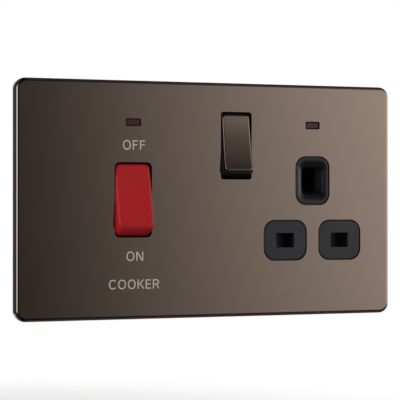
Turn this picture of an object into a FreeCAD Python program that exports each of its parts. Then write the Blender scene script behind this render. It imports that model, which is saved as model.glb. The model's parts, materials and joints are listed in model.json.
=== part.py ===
import FreeCAD, Part
import math
import os
import Sketcher
from types import SimpleNamespace

# Cooker control unit: a two-gang flat plate with a double-pole cooker switch and a switched socket.
# X runs right, Y runs into the wall and Z runs up. The wall surface is Y = 0, and the origin lies
# midway between the two fixing holes. The plate stands off the wall towards -Y.
# Every size is a cell of the sheet, in millimetres or degrees.

SIZES = [
    ("plate_width", 146.0, "faceplate across"),
    ("plate_height", 86.0, "faceplate tall"),
    ("plate_depth", 4.0, "wall to the front of the faceplate"),
    ("plate_sheet", 1.2, "metal of the faceplate"),
    ("plate_corner", 3.8, "corner radius of the faceplate seen from the front"),
    ("plate_edge_round", 1.3, "rolled front edge of the faceplate"),
    ("indicator_height", 27.9, "both indicator lenses above the middle"),
    ("lens_width", 5.8, "indicator opening across"),
    ("lens_height", 2.85, "indicator opening tall"),
    ("lens_corner", 0.5, "corner radius of the indicator opening"),
    ("lens_gap", 0.25, "lens inside its opening, each side"),
    ("lens_set_back", 0.35, "lens face behind the plate face"),
    ("lens_rim", 0.85, "flange of the lens beyond its opening"),
    ("lens_rim_depth", 1.0, "thickness of the lens flange"),
    ("frame_gap", 0.2, "support frame inside the plate's turned rim"),
    ("clip_length", 7.0, "snap barb along the frame's edge"),
    ("clip_spacing", 46.0, "snap barbs on the long edges"),
    ("barb_inset", 0.8, "snap barb from the frame's faces"),
    ("clip_slot_width", 1.3, "relief slot behind a barb"),
    ("clip_beam", 1.5, "springy strip between the slot and the edge"),
    ("fixing_spacing", 120.6, "wall screws, centre to centre"),
    ("fixing_hole_radius", 2.0, "clearance for an M3.5 wall screw"),
    ("fixing_head_radius", 3.8, "recess for the wall screw's head"),
    ("fixing_head_depth", 1.3, "depth of that recess"),
    ("box_lug_half", 6.2, "half height of the wall box's fixing lug"),
    ("boss_gap", 0.15, "module boss inside the frame window"),
    ("ledge", 2.0, "module body beyond its boss, behind the frame"),
    ("step_ledge", 0.7, "the same at the fixing lug"),
    ("mould_corner", 2.5, "corner radius of the moulded modules"),
    ("front_body_depth", 10.0, "front moulding behind the wall plane"),
    ("base_back", 27.0, "rear face of the module bases"),
    ("mould_wall", 3.2, "side wall of a front moulding"),
    ("front_wall", 2.5, "front wall of the cooker moulding"),
    ("socket_front_wall", 4.2, "front wall of the socket moulding"),
    ("ear_offset", 2.7, "fixing ear's screw beyond the module"),
    ("ear_width", 6.4, "fixing ear across"),
    ("ear_height", 9.0, "fixing ear along the module"),
    ("socket_ear_top", 29.7, "socket's upper left ear"),
    ("socket_ear_low", -9.0, "socket's lower left ear"),
    ("ear_sheet", 2.5, "fixing ear thickness"),
    ("ear_screw_radius", 0.95, "module fixing screw shank"),
    ("ear_screw_head", 2.1, "module fixing screw head radius"),
    ("ear_screw_head_depth", 1.3, "module fixing screw head"),
    ("screw_gap", 0.08, "screw shank inside its pilot hole"),
    ("screw_tip_gap", 0.4, "screw tip short of the frame's front"),
    ("body_screw_radius", 0.95, "case screw shank"),
    ("body_screw_head", 1.8, "case screw head radius"),
    ("body_screw_head_depth", 1.6, "case screw head"),
    ("body_screw_inset", 2.4, "case screw centre inside the case side"),
    ("body_screw_boss", 2.2, "boss round a case screw"),
    ("body_screw_seat", 15.0, "case screw head seat behind the wall plane"),
    ("body_screw_bite", 6.0, "case screw into the front moulding"),
    ("screw_slot", 0.7, "driver slot width"),
    ("cooker_x", -29.65, "middle of the cooker switch"),
    ("cooker_half_width", 20.0, "cooker module from its middle"),
    ("cooker_top", 35.5, "cooker module top"),
    ("cooker_bottom", -34.0, "cooker module bottom"),
    ("cooker_ear_height", 20.5, "cooker ears above and below the middle"),
    ("cooker_window_width", 14.1, "cooker rocker opening across"),
    ("cooker_window_height", 27.1, "cooker rocker opening tall"),
    ("cooker_window_corner", 1.9, "its corner radius"),
    ("pivot_depth", 4.6, "rocker pivots behind the plate face"),
    ("cooker_tilt", 14.0, "cooker rocker from its middle to either stop"),
    ("cooker_contact_tilt", 7.5, "its see-saw contacts, the same"),
    ("cooker_rocker_width", 13.5, "cooker rocker across"),
    ("cooker_rocker_radius", 13.35, "its end faces about the pivot"),
    ("cooker_lip_depth", 6.8, "its lips in front of the pivot"),
    ("cooker_dish", 220.0, "radius of its dished face"),
    ("skirt_depth", 1.6, "rocker skirts behind the pivot"),
    ("rocker_wall", 1.45, "rocker side wall"),
    ("rocker_face_wall", 1.9, "rocker front wall, at the lips"),
    ("rocker_corner", 1.9, "rocker corner seen from the front"),
    ("rocker_edge_round", 1.2, "rounding of the rocker's front edge"),
    ("trunnion_radius", 1.5, "rocker axle stubs"),
    ("trunnion_length", 1.6, "axle stub beyond the rocker's side"),
    ("bearing_gap", 0.05, "axle stub inside its bearing"),
    ("bearing_end_gap", 0.3, "axle stub short of the bearing's end"),
    ("cheek", 2.2, "bearing cheek thickness"),
    ("cheek_height", 10.0, "bearing cheek along Z"),
    ("cheek_back", 4.5, "bearing cheek's rear edge"),
    ("pole_spacing", 6.8, "the two see-saw contacts of the cooker switch"),
    ("plunger_radius", 1.5, "contact plunger"),
    ("plunger_reach", 9.4, "plunger tip from the rocker pivot"),
    ("plunger_back", 1.0, "plunger's rear end from the pivot"),
    ("plunger_gap", 0.05, "plunger inside its bore"),
    ("plunger_boss_radius", 2.45, "tube that holds the plunger"),
    ("plunger_boss_back", 4.0, "end of that tube from the pivot"),
    ("plunger_bore_front", 3.0, "bottom of the bore in front of the pivot"),
    ("spigot_radius", 0.65, "spring spigot on the plunger"),
    ("spigot_length", 1.2, "the same"),
    ("spring_radius", 1.05, "plunger spring, middle of the wire"),
    ("spring_wire", 0.2, "plunger spring wire radius"),
    ("spring_turns", 5.0, "plunger spring turns"),
    ("saddle_gap", 0.2, "plunger tip to the contact's saddle"),
    ("saddle_half", 2.8, "half height of the saddle"),
    ("contact_sheet", 1.0, "moving contact metal"),
    ("contact_width", 4.4, "moving contact across"),
    ("fulcrum_set_back", 0.3, "turning point behind the moving contact"),
    ("fulcrum_radius", 0.8, "rounded rib under the moving contact"),
    ("fulcrum_gap", 0.15, "rib to moving contact"),
    ("cooker_arm", 11.2, "cooker moving contact from its middle to its end"),
    ("tip_radius", 1.4, "silver contact tip"),
    ("tip_height", 0.6, "silver contact tip"),
    ("tip_inset", 1.5, "tip centre from the arm's end"),
    ("strap_set_back", 0.85, "fixed contacts behind the turning point"),
    ("strap_sheet", 1.2, "brass strap of the cooker terminals"),
    ("strap_inner", 1.4, "cooker straps from the switch's middle"),
    ("strap_end", 1.5, "supply strap past the turning point"),
    ("load_strap_start", 8.3, "load strap above the turning point"),
    ("block_inner", 3.5, "terminal blocks from the switch's middle"),
    ("block_width", 11.0, "terminal block across"),
    ("block_height", 13.0, "terminal block along its cable bore"),
    ("block_depth", 10.9, "terminal block front to back"),
    ("block_reach", 31.0, "outer end of the cooker terminal blocks"),
    ("cable_bore_radius", 3.1, "bore for a 16 square millimetre conductor"),
    ("cable_bore_set_back", 5.4, "bore centre behind the block's front"),
    ("earth_bore_radius", 2.6, "bore for the earth conductors"),
    ("earth_bore_end", 2.0, "metal left below the earth bore"),
    ("terminal_screw_radius", 2.4, "terminal screw"),
    ("terminal_thread_gap", 0.08, "terminal screw inside its thread"),
    ("terminal_screw_head", 2.8, "terminal screw head radius"),
    ("terminal_screw_head_depth", 1.5, "terminal screw head"),
    ("terminal_screw_stand", 0.6, "head above the block, backed off for wiring"),
    ("terminal_screw_spacing", 6.0, "two screws on one terminal"),
    ("seat_gap", 0.2, "terminal block or strap inside its moulded seat"),
    ("chamber_gap", 0.7, "chamber wall beside and past a moving contact"),
    ("lamp_radius", 1.9, "neon lamp glass"),
    ("lamp_length", 9.0, "neon lamp"),
    ("lamp_gap", 0.15, "lamp inside its holder"),
    ("lamp_holder_wall", 1.0, "lamp holder tube"),
    ("lamp_holder_back", 8.5, "lamp holder's rear edge"),
    ("resistor_radius", 1.25, "ballast resistor"),
    ("resistor_length", 7.0, "ballast resistor"),
    ("resistor_waist", 1.08, "radius of its body between its caps"),
    ("resistor_cap", 1.5, "length of a cap"),
    ("resistor_gap", 0.1, "resistor inside its seat"),
    ("cooker_resistor_x", 11.0, "cooker resistor from the switch's middle"),
    ("cooker_resistor_z", 4.9, "the same, height"),
    ("pillar_radius", 2.0, "pillar that holds a terminal down"),
    ("socket_left", -0.8, "socket module's left side"),
    ("socket_right", 63.6, "socket module's right side, lower part"),
    ("socket_shoulder", 52.0, "the same, upper part"),
    ("socket_top", 36.0, "socket module top"),
    ("socket_bottom", -30.0, "socket module bottom"),
    ("socket_x", 41.0, "middle of the socket"),
    ("pin_spacing", 22.23, "line to neutral, and earth above them"),
    ("pin_row", -15.0, "height of the line and neutral pins"),
    ("pin_window_width", 17.5, "plate opening round a line or neutral slot"),
    ("pin_window_height", 15.3, "the same, tall"),
    ("pin_window_corner", 4.5, "its corner radius"),
    ("pin_slot_width", 7.15, "line or neutral slot across"),
    ("pin_slot_height", 5.45, "the same, tall"),
    ("earth_window_width", 14.0, "plate opening round the earth slot"),
    ("earth_window_height", 18.4, "the same, tall"),
    ("earth_window_corner", 4.3, "its corner radius"),
    ("earth_slot_width", 4.8, "earth slot across"),
    ("earth_slot_height", 8.5, "the same, tall"),
    ("island_gap", 0.3, "raised island inside its plate opening"),
    ("island_set_back", 0.15, "island face behind the plate face"),
    ("island_round", 0.4, "rounding of an island's edge"),
    ("funnel_depth", 4.3, "depth of the earth slot's funnel"),
    ("funnel_lip", 0.7, "flat lip round the funnel"),
    ("funnel_throat_corner", 0.4, "corner radius at the funnel's inner end"),
    ("switch_x", 10.2, "middle of the socket switch"),
    ("switch_z", 19.93, "the same, height"),
    ("switch_window_width", 12.2, "socket rocker opening across"),
    ("switch_window_height", 24.85, "the same, tall"),
    ("switch_window_corner", 1.1, "its corner radius"),
    ("switch_tilt", 10.5, "socket rocker from its middle to either stop"),
    ("switch_contact_tilt", 6.5, "its see-saw contact, the same"),
    ("carrier_width", 11.6, "socket rocker carrier across"),
    ("carrier_radius", 12.2, "its end faces about the pivot"),
    ("carrier_front", 4.9, "carrier's front face from the pivot"),
    ("cap_width", 10.7, "metal cap on the carrier, across"),
    ("cap_lip_depth", 6.2, "cap's lips in front of the pivot"),
    ("cap_half_height", 10.15, "cap from its middle to its lip"),
    ("cap_dish", 130.0, "radius of the cap's dished face"),
    ("cap_sheet", 0.5, "cap metal"),
    ("cap_edge_round", 0.8, "rounding of the cap's edge"),
    ("cap_corner", 1.0, "cap corner seen from the front"),
    ("switch_arm", 9.2, "socket moving contact from its middle to its end"),
    ("link_sheet", 1.0, "link strap metal"),
    ("joggle_slack", 0.4, "joggle of the line link, shifted at its back"),
    ("link_lap", 6.5, "link strap's lap on a cooker strap"),
    ("link_foot", 4.2, "neutral link's foot on the clip's tab"),
    ("link_width", 4.0, "link strap along Z"),
    ("line_link_z", -8.0, "lower edge of the line link"),
    ("neutral_link_z", -16.4, "lower edge of the neutral link"),
    ("neutral_link_front", 7.5, "front of the neutral link where it crosses"),
    ("clip_sheet", 0.6, "pin clip metal"),
    ("clip_web", 0.8, "web and strap of the pin clips"),
    ("clip_web_front", 15.0, "web of the line and neutral clips"),
    ("clip_mouth", 5.2, "mouth of the line and neutral clips"),
    ("clip_throat", 7.4, "throat of the line and neutral clips"),
    ("clip_grip", 1.95, "half gap at the throat of every clip"),
    ("clip_flare", 2.9, "half gap at the mouth"),
    ("clip_root", 2.6, "half gap at the web"),
    ("clip_half_width", 3.7, "line or neutral clip from its middle"),
    ("clip_gap", 0.3, "pin clip inside its cavity"),
    ("tower_wall", 1.0, "wall of a pin clip's tower"),
    ("earth_mouth", 9.0, "mouth of the earth clip"),
    ("earth_throat", 11.2, "throat of the earth clip"),
    ("earth_web_front", 19.2, "web of the earth clip"),
    ("earth_half_height", 4.0, "earth clip from its middle"),
    ("line_strap_x", 14.6, "left edge of the line clip's strap"),
    ("line_strap_width", 3.4, "line clip's strap across"),
    ("line_strap_z", -25.0, "lower edge of the line clip's strap"),
    ("line_strap_height", 4.0, "the same strap where it runs along X"),
    ("rivet_radius", 2.0, "socket switch's fixed contact"),
    ("neutral_tab", 5.6, "neutral clip's side tab"),
    ("earth_block_x", 28.0, "middle of the earth terminal"),
    ("earth_block_z", 17.5, "lower end of the earth terminal"),
    ("earth_block_front", 13.0, "front of the earth terminal"),
    ("earth_strap_width", 4.0, "earth strap to the plate, across"),
    ("earth_strap_sheet", 0.6, "the same, metal"),
    ("earth_strap_foot", 4.5, "its feet along Z"),
    ("earth_strap_z", 24.0, "its level stretch"),
    ("shutter_front", 1.6, "shutter's front face"),
    ("shutter_sheet", 2.4, "shutter thickness"),
    ("shutter_gap", 0.3, "shutter to its guides and to the towers"),
    ("shutter_half_width", 16.2, "shutter from the socket's middle"),
    ("shutter_lap", 0.7, "shutter cover beyond a pin slot, above and below"),
    ("shutter_corner", 0.8, "corner radius of the shutter"),
    ("ramp_half_width", 3.2, "shutter ramp from the socket's middle"),
    ("ramp_skin", 3.0, "shutter ramp along Z"),
    ("return_spring_radius", 0.85, "shutter spring, middle of the wire"),
    ("return_spring_wire", 0.2, "shutter spring wire radius"),
    ("return_spring_turns", 8.0, "shutter spring turns"),
    ("return_spring_slot", 1.2, "half width of the shutter spring's slot"),
    ("return_spring_top", -6.0, "shutter spring's upper end"),
    ("return_spring_foot", -17.4, "shutter spring's lower end"),
    ("peg_height", 1.4, "peg under the shutter spring"),
    ("guide_width", 1.2, "shutter guide rib"),
    ("core_wall", 1.8, "ribs between the cored pockets of a base"),
    ("core_front", 18.4, "floor of the cored pockets"),
]

# Turned round the X axis, the rockers rest in their off position, with the lower lip standing out.

STEP_FOLDER = "parts"
COIL_SIDES = 10
WIRE_SIDES = 6
TINY = 0.01


class Size:
    """A length or angle that knows both its number and its formula on the sheet."""

    def __init__(self, value, text):
        self.value = float(value)
        self.text = text

    def _join(self, other, sign, value):
        return Size(value, f"({self.text} {sign} {other.text})")

    def __add__(self, other):
        other = as_size(other)
        return self._join(other, "+", self.value + other.value)

    def __sub__(self, other):
        other = as_size(other)
        return self._join(other, "-", self.value - other.value)

    def __mul__(self, other):
        other = as_size(other)
        return self._join(other, "*", self.value * other.value)

    def __truediv__(self, other):
        other = as_size(other)
        return self._join(other, "/", self.value / other.value)

    def __rmul__(self, other):
        return as_size(other) * self

    def __radd__(self, other):
        return as_size(other) + self

    def __rsub__(self, other):
        return as_size(other) - self

    def __neg__(self):
        return Size(-self.value, f"(0 - {self.text})")


def as_size(number):
    """A plain number as a Size."""
    if isinstance(number, Size):
        return number
    return Size(number, f"({float(number)!r})")


def root(size):
    """The square root of a Size."""
    return Size(math.sqrt(size.value), f"sqrt({size.text})")


def sine(size):
    """The sine of an angle in degrees."""
    return Size(math.sin(math.radians(size.value)), f"sin({size.text})")


def cosine(size):
    """The cosine of an angle in degrees."""
    return Size(math.cos(math.radians(size.value)), f"cos({size.text})")


doc = FreeCAD.newDocument("CookerControlUnit")
sheet = doc.addObject("Spreadsheet::Sheet", "Sizes")
sheet.set("A1", "Size")
sheet.set("B1", "Value")
sheet.set("C1", "Meaning")
for row, (word, number, meaning) in enumerate(SIZES, start=2):
    sheet.set(f"A{row}", word)
    sheet.set(f"B{row}", str(number))
    sheet.setAlias(f"B{row}", word)
    sheet.set(f"C{row}", meaning)
doc.recompute()
s = SimpleNamespace(**{word: Size(number, f"Sizes.{word}") for word, number, _ in SIZES})


def bind(item, formulas):
    """Ties each named property of a document object to its formula, and sets its number."""
    for path, size in formulas.items():
        item.setExpression(path, as_size(size).text)


def locate(item, x=0, y=0, z=0, tilt=None):
    """Places a finished piece, turned about the X axis by an angle where one is given."""
    if tilt is not None:
        spin = FreeCAD.Rotation(FreeCAD.Vector(1, 0, 0), 10)
        item.Placement = FreeCAD.Placement(FreeCAD.Vector(), spin)
        item.setExpression("Placement.Rotation.Angle", f"{tilt.text} * 1 deg")
    for key, size in (("x", x), ("y", y), ("z", z)):
        bind(item, {f"Placement.Base.{key}": size})
    return item


PLANES = {"front": "XZ_Plane", "side": "YZ_Plane", "top": "XY_Plane"}


def new_body(name):
    """An empty PartDesign body whose label is the piece's name."""
    body = doc.addObject("PartDesign::Body", name)
    body.Label = name
    return body


def new_sketch(body, plane, offset):
    """A sketch on one of the body's own planes, moved along its normal."""
    role = PLANES[plane]
    support = next(f for f in body.Origin.OriginFeatures if f.Role == role)
    sketch = body.newObject("Sketcher::SketchObject", f"{body.Name}_sketch")
    sketch.AttachmentSupport = (support, [""])
    sketch.MapMode = "FlatFace"
    bind(sketch, {"AttachmentOffset.Base.z": offset})
    return sketch


def fix_at(kind, geometry, point, size):
    """One coordinate of a point of a sketch, measured from the sketch's origin, with its size."""
    size = as_size(size)
    constraint = Sketcher.Constraint(kind, -1, 1, geometry, point, size.value)
    constraint.Name = f"{kind}{geometry}"
    return constraint, size


def fix_radius(geometry, size):
    """The radius of an arc or a circle of a sketch, with its size."""
    size = as_size(size)
    constraint = Sketcher.Constraint("Radius", geometry, size.value)
    constraint.Name = f"Radius{geometry}"
    return constraint, size


def constrain(sketch, fixed):
    """Adds constraints to a sketch together and ties each that has a size to its formula."""
    sketch.addConstraint([constraint for constraint, _ in fixed])
    for constraint, size in fixed:
        if size is not None:
            bind(sketch, {f"Constraints.{constraint.Name}": size})


def flat(a, b):
    """A point in the plane of a sketch."""
    return FreeCAD.Vector(as_size(a).value, as_size(b).value, 0)


def circle(a, b, radius):
    """A circle for a sketch."""

    def draw(first):
        around = Part.Circle(flat(a, b), FreeCAD.Vector(0, 0, 1), as_size(radius).value)
        fixed = [
            fix_at("DistanceX", first, 3, a),
            fix_at("DistanceY", first, 3, b),
            fix_radius(first, radius),
        ]
        return [around], fixed

    return draw


def outline(*steps):
    """A closed outline for a sketch. A step is a corner (a, b), or (a, b, radius, side) where an arc
    leads to that corner with its centre on the left (+1) or right (-1) of the way there."""

    def draw(first):
        count = len(steps)
        edges = []
        fixed = []
        for index, start in enumerate(steps):
            end = steps[(index + 1) % count]
            later = steps[(index + 2) % count]
            here = first + index
            after = first + (index + 1) % count
            p, q = flat(*start[:2]), flat(*end[:2])
            begin, finish = (1, 2) if is_forward(end) else (2, 1)
            next_begin = 1 if is_forward(later) else 2
            joint = Sketcher.Constraint("Coincident", here, finish, after, next_begin)
            fixed.append((joint, None))
            fixed.append(fix_at("DistanceX", here, begin, start[0]))
            fixed.append(fix_at("DistanceY", here, begin, start[1]))
            if len(end) == 2:
                edges.append(Part.LineSegment(p, q))
            else:
                edges.append(arc_between(p, q, as_size(end[2]).value, end[3]))
                fixed.append(fix_radius(here, end[2]))
        return edges, fixed

    return draw


def fill(sketch, outlines):
    """Draws outlines in a sketch."""
    edges = []
    fixed = []
    for draw in outlines:
        more_edges, more_fixed = draw(len(edges))
        edges += more_edges
        fixed += more_fixed
    sketch.addGeometry(edges)
    constrain(sketch, fixed)


def is_forward(step):
    """Whether the sketch stores this edge in the direction of travel: arcs always run anticlockwise."""
    return len(step) == 2 or step[3] > 0


def arc_between(p, q, radius, side):
    """The shorter arc from p to q, with its centre on the left of the way where side is 1."""
    middle = (p + q) * 0.5
    way = q - p
    left = FreeCAD.Vector(-way.y, way.x, 0)
    left.normalize()
    reach = math.sqrt(max(radius**2 - (way.Length / 2) ** 2, 0.0))
    centre = middle + left * (reach * side)
    around = Part.Circle(centre, FreeCAD.Vector(0, 0, 1), radius)
    start = math.atan2(p.y - centre.y, p.x - centre.x)
    end = math.atan2(q.y - centre.y, q.x - centre.x)
    if side < 0:
        start, end = end, start
    return Part.ArcOfCircle(around, start, end)


def rectangle(left, right, bottom, top, corner=None):
    """A rectangle for a sketch, with rounded corners where a radius is given."""
    left, right, bottom, top = (as_size(edge) for edge in (left, right, bottom, top))
    if corner is None:
        return outline((left, bottom), (right, bottom), (right, top), (left, top))
    return outline(
        (left + corner, bottom, corner, 1),
        (right - corner, bottom),
        (right, bottom + corner, corner, 1),
        (right, top - corner),
        (right - corner, top, corner, 1),
        (left + corner, top),
        (left, top - corner, corner, 1),
        (left, bottom + corner),
    )


def centred(a, b, width, height, corner=None):
    """A rectangle for a sketch, given by its middle."""
    a, b = as_size(a), as_size(b)
    return rectangle(a - width / 2, a + width / 2, b - height / 2, b + height / 2, corner)


def add(body, plane, outlines, low, high):
    """Pads outlines between two levels of the axis across their plane: Y, X or Z."""
    low, high = as_size(low), as_size(high)
    sketch = new_sketch(body, plane, -high if plane == "front" else low)
    fill(sketch, outlines)
    pad = body.newObject("PartDesign::Pad", f"{body.Name}_pad")
    pad.Profile = sketch
    bind(pad, {"Length": high - low})
    body.Tip = pad
    return pad


def remove(body, plane, outlines, low, high):
    """Pockets outlines between two levels of the axis across their plane: Y, X or Z."""
    low, high = as_size(low), as_size(high)
    sketch = new_sketch(body, plane, -low if plane == "front" else high)
    fill(sketch, outlines)
    pocket = body.newObject("PartDesign::Pocket", f"{body.Name}_pocket")
    pocket.Profile = sketch
    bind(pocket, {"Length": high - low})
    body.Tip = pocket
    return pocket


def round_edges(body, base, radius, test):
    """Rounds the edges of a body's last feature that pass a test."""
    doc.recompute()
    chosen = [f"Edge{n}" for n, edge in enumerate(base.Shape.Edges, start=1) if test(edge)]
    rounding = body.newObject("PartDesign::Fillet", f"{body.Name}_round")
    rounding.Base = (base, chosen)
    bind(rounding, {"Radius": radius})
    body.Tip = rounding
    return rounding


AXIS_TURNS = {
    "X": FreeCAD.Rotation(FreeCAD.Vector(0, 1, 0), 90),
    "Y": FreeCAD.Rotation(FreeCAD.Vector(1, 0, 0), -90),
    "Z": FreeCAD.Rotation(),
}


def rod(name, axis, x, y, z, radius, length):
    """A cylinder that starts at a point and runs along +X, +Y or +Z."""
    item = doc.addObject("Part::Cylinder", name)
    item.Placement = FreeCAD.Placement(FreeCAD.Vector(), AXIS_TURNS[axis])
    bind(item, {"Radius": radius, "Height": length})
    return locate(item, x, y, z)


def block(name, x_pair, y_pair, z_pair):
    """A box between two levels on each axis."""
    item = doc.addObject("Part::Box", name)
    pairs = [(as_size(low), as_size(high)) for low, high in (x_pair, y_pair, z_pair)]
    for key, (low, high) in zip(("Length", "Width", "Height"), pairs):
        bind(item, {key: high - low})
    return locate(item, *[low for low, _ in pairs])


def fuse(name, items):
    """One piece, or a group of loose pieces, out of several shapes."""
    joined = doc.addObject("Part::MultiFuse", name)
    joined.Shapes = items
    joined.Label = name
    return joined


def cut(name, base, tool):
    """A shape with another taken out of it."""
    left = doc.addObject("Part::Cut", name)
    left.Base = base
    left.Tool = tool
    left.Label = name
    return left


def mirror_pair(side, near, far):
    """Two levels on one side of a middle line, lower first."""
    near, far = as_size(near), as_size(far)
    return (near, far) if side > 0 else (-far, -near)


# Levels along Y that several pieces share.
plate_front = -s.plate_depth
sheet_back = s.plate_sheet - s.plate_depth
island_front = s.island_set_back - s.plate_depth
pivot_y = s.pivot_depth - s.plate_depth
body_back = s.front_body_depth
saddle_y = pivot_y + s.plunger_reach + s.saddle_gap
fulcrum_y = saddle_y + s.contact_sheet + s.fulcrum_set_back
strap_front = fulcrum_y + s.strap_set_back
strap_back = strap_front + s.strap_sheet
cooker_wall_back = sheet_back + s.front_wall
socket_wall_back = sheet_back + s.socket_front_wall
clip_web_back = s.clip_web_front + s.clip_web
earth_web_back = s.earth_web_front + s.clip_web
shutter_back = s.shutter_front + s.shutter_sheet
earth_row = s.pin_row + s.pin_spacing
pin_half = s.pin_spacing / 2
NO_SIZE = as_size(0)


def module_windows(grow):
    """The outlines of the two module bosses, grown by a gap, in the unit's own frame."""
    corner = s.mould_corner + grow
    cooker = rectangle(
        s.cooker_x - s.cooker_half_width + s.ledge - grow,
        s.cooker_x + s.cooker_half_width - s.ledge + grow,
        s.cooker_bottom + s.ledge - grow,
        s.cooker_top - s.ledge + grow,
        corner,
    )
    socket = stepped(
        s.socket_left + s.ledge - grow,
        s.socket_shoulder - s.ledge + grow,
        s.socket_right - s.ledge + grow,
        s.socket_bottom + s.ledge - grow,
        -s.box_lug_half - s.step_ledge + grow,
        s.socket_top - s.ledge + grow,
        corner,
    )
    return cooker, socket


def stepped(left, shoulder, right, bottom, step, top, corner):
    """The socket module's outline: its upper right corner is left out, clear of the wall box's lug."""
    return outline(
        (left + corner, bottom, corner, 1),
        (right - corner, bottom),
        (right, bottom + corner, corner, 1),
        (right, step),
        (shoulder, step),
        (shoulder, top - corner),
        (shoulder - corner, top, corner, 1),
        (left + corner, top),
        (left, top - corner, corner, 1),
        (left, bottom + corner),
    )


def socket_window_outlines():
    """Openings of the socket half: the rocker, the indicator and the three pin openings."""
    pins = [
        centred(
            s.socket_x + side * pin_half,
            s.pin_row,
            s.pin_window_width,
            s.pin_window_height,
            s.pin_window_corner,
        )
        for side in (-1, 1)
    ]
    earth = centred(
        s.socket_x, earth_row, s.earth_window_width, s.earth_window_height, s.earth_window_corner
    )
    return pins + [earth, switch_window()]


def switch_window():
    """The socket rocker's opening."""
    return centred(
        s.switch_x,
        s.switch_z,
        s.switch_window_width,
        s.switch_window_height,
        s.switch_window_corner,
    )


def make_front_plate():
    """A pressed metal plate with a turned rim, rolled edges and its openings."""
    body = new_body("front_plate")
    sheet_outline = centred(0, 0, s.plate_width, s.plate_height, s.plate_corner)
    pad = add(body, "front", [sheet_outline], plate_front, 0)
    front = plate_front.value

    def on_front(edge):
        return edge.BoundBox.YMax < front + TINY

    round_edges(body, pad, s.plate_edge_round, on_front)
    inner = centred(
        0,
        0,
        s.plate_width - 2 * s.plate_sheet,
        s.plate_height - 2 * s.plate_sheet,
        s.plate_corner - s.plate_sheet,
    )
    remove(body, "front", [inner], sheet_back, 0)
    cooker = centred(
        s.cooker_x, 0, s.cooker_window_width, s.cooker_window_height, s.cooker_window_corner
    )
    lenses = [
        centred(x, s.indicator_height, s.lens_width, s.lens_height, s.lens_corner)
        for x in (s.cooker_x, s.socket_x)
    ]
    for openings in (socket_window_outlines(), [cooker], lenses):
        remove(body, "front", openings, plate_front, sheet_back)
    return body


def ear_places():
    """The screws that hold the modules to the frame, in the unit's own frame: (x, z, upright)."""
    cooker = [
        (s.cooker_x + side * (s.cooker_half_width + s.ear_offset), level * s.cooker_ear_height, True)
        for side in (-1, 1)
        for level in (-1, 1)
    ]
    socket = [
        (s.socket_left - s.ear_offset, s.socket_ear_top, True),
        (s.socket_left - s.ear_offset, s.socket_ear_low, True),
        (s.socket_shoulder + s.ear_offset, s.cooker_ear_height, True),
        (s.socket_x, s.socket_bottom - s.ear_offset, False),
    ]
    return cooker, socket


def make_support_frame():
    """The frame that is screwed to the wall box, carries both modules and takes the plate's snap fit."""
    body = new_body("support_frame")
    width = s.plate_width - 2 * (s.plate_sheet + s.frame_gap)
    height = s.plate_height - 2 * (s.plate_sheet + s.frame_gap)
    corner = s.plate_corner - s.plate_sheet - s.frame_gap
    add(body, "front", [centred(0, 0, width, height, corner)], sheet_back, 0)
    edges = [(side, level) for side in (-1, 0, 1) for level in (-1, 1)]
    barbs = [
        rectangle(
            side * s.clip_spacing - s.clip_length / 2,
            side * s.clip_spacing + s.clip_length / 2,
            *mirror_pair(level, height / 2 - s.frame_gap, height / 2 + s.frame_gap),
        )
        for side, level in edges
    ]
    add(body, "front", barbs, sheet_back + s.barb_inset, -s.barb_inset)
    slots = [
        centred(
            side * s.clip_spacing,
            level * (height / 2 - s.clip_beam - s.clip_slot_width / 2),
            s.clip_length * 2,
            s.clip_slot_width,
        )
        for side, level in edges
    ]
    remove(body, "front", slots, sheet_back, 0)
    for window in module_windows(s.boss_gap):
        remove(body, "front", [window], sheet_back, 0)
    holes = [circle(side * s.fixing_spacing / 2, 0, s.fixing_hole_radius) for side in (-1, 1)]
    cooker_ears, socket_ears = ear_places()
    pilot = s.ear_screw_radius + s.screw_gap
    pilots = [circle(x, z, pilot) for x, z, _ in cooker_ears + socket_ears]
    remove(body, "front", holes + pilots, sheet_back, 0)
    recesses = [circle(side * s.fixing_spacing / 2, 0, s.fixing_head_radius) for side in (-1, 1)]
    remove(body, "front", recesses, sheet_back, sheet_back + s.fixing_head_depth)
    return body


def case_screw_places(module):
    """Where the screws join a front moulding to its base: (x, z) in the module's own frame."""
    inset = s.body_screw_inset
    if module == "cooker":
        reach = s.cooker_half_width - inset
        levels = (s.cooker_bottom + 2 * inset, s.cooker_top - 2 * inset)
        return [(side * reach, level) for side in (-1, 1) for level in levels]
    return [
        (s.socket_left + inset, s.socket_bottom + inset),
        (s.socket_left + inset, s.socket_top - inset),
        (s.socket_right - inset, s.socket_bottom + inset),
        (s.socket_shoulder - inset, s.socket_top - inset),
    ]


def add_ears(body, places, middle):
    """Fixing ears on a front moulding, with clearance holes for their screws."""
    ears = []
    for x, z, upright in places:
        wide, tall = (s.ear_width, s.ear_height) if upright else (s.ear_height, s.ear_width)
        ears.append(centred(x - middle, z, wide, tall, s.ear_width / 4))
    add(body, "front", ears, 0, s.ear_sheet)
    clear = s.ear_screw_radius + 2 * s.screw_gap
    holes = [circle(x - middle, z, clear) for x, z, _ in places]
    remove(body, "front", holes, 0, s.ear_sheet)


def add_lamp_seat(body, x, wall_back):
    """The lens recess, the light hole and the tube that holds the neon lamp."""
    bore = s.lamp_radius + s.lamp_gap
    tube = circle(x, s.indicator_height, bore + s.lamp_holder_wall)
    add(body, "front", [tube], wall_back, s.lamp_holder_back)
    width = s.lens_width + 2 * (s.lens_rim + s.lens_gap)
    height = s.lens_height + 2 * (s.lens_rim + s.lens_gap)
    recess = centred(x, s.indicator_height, width, height, s.lens_corner)
    seat_back = sheet_back + s.lens_rim_depth
    remove(body, "front", [recess], sheet_back, seat_back)
    light_hole = circle(x, s.indicator_height, bore)
    remove(body, "front", [light_hole], seat_back, s.lamp_holder_back)


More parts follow.
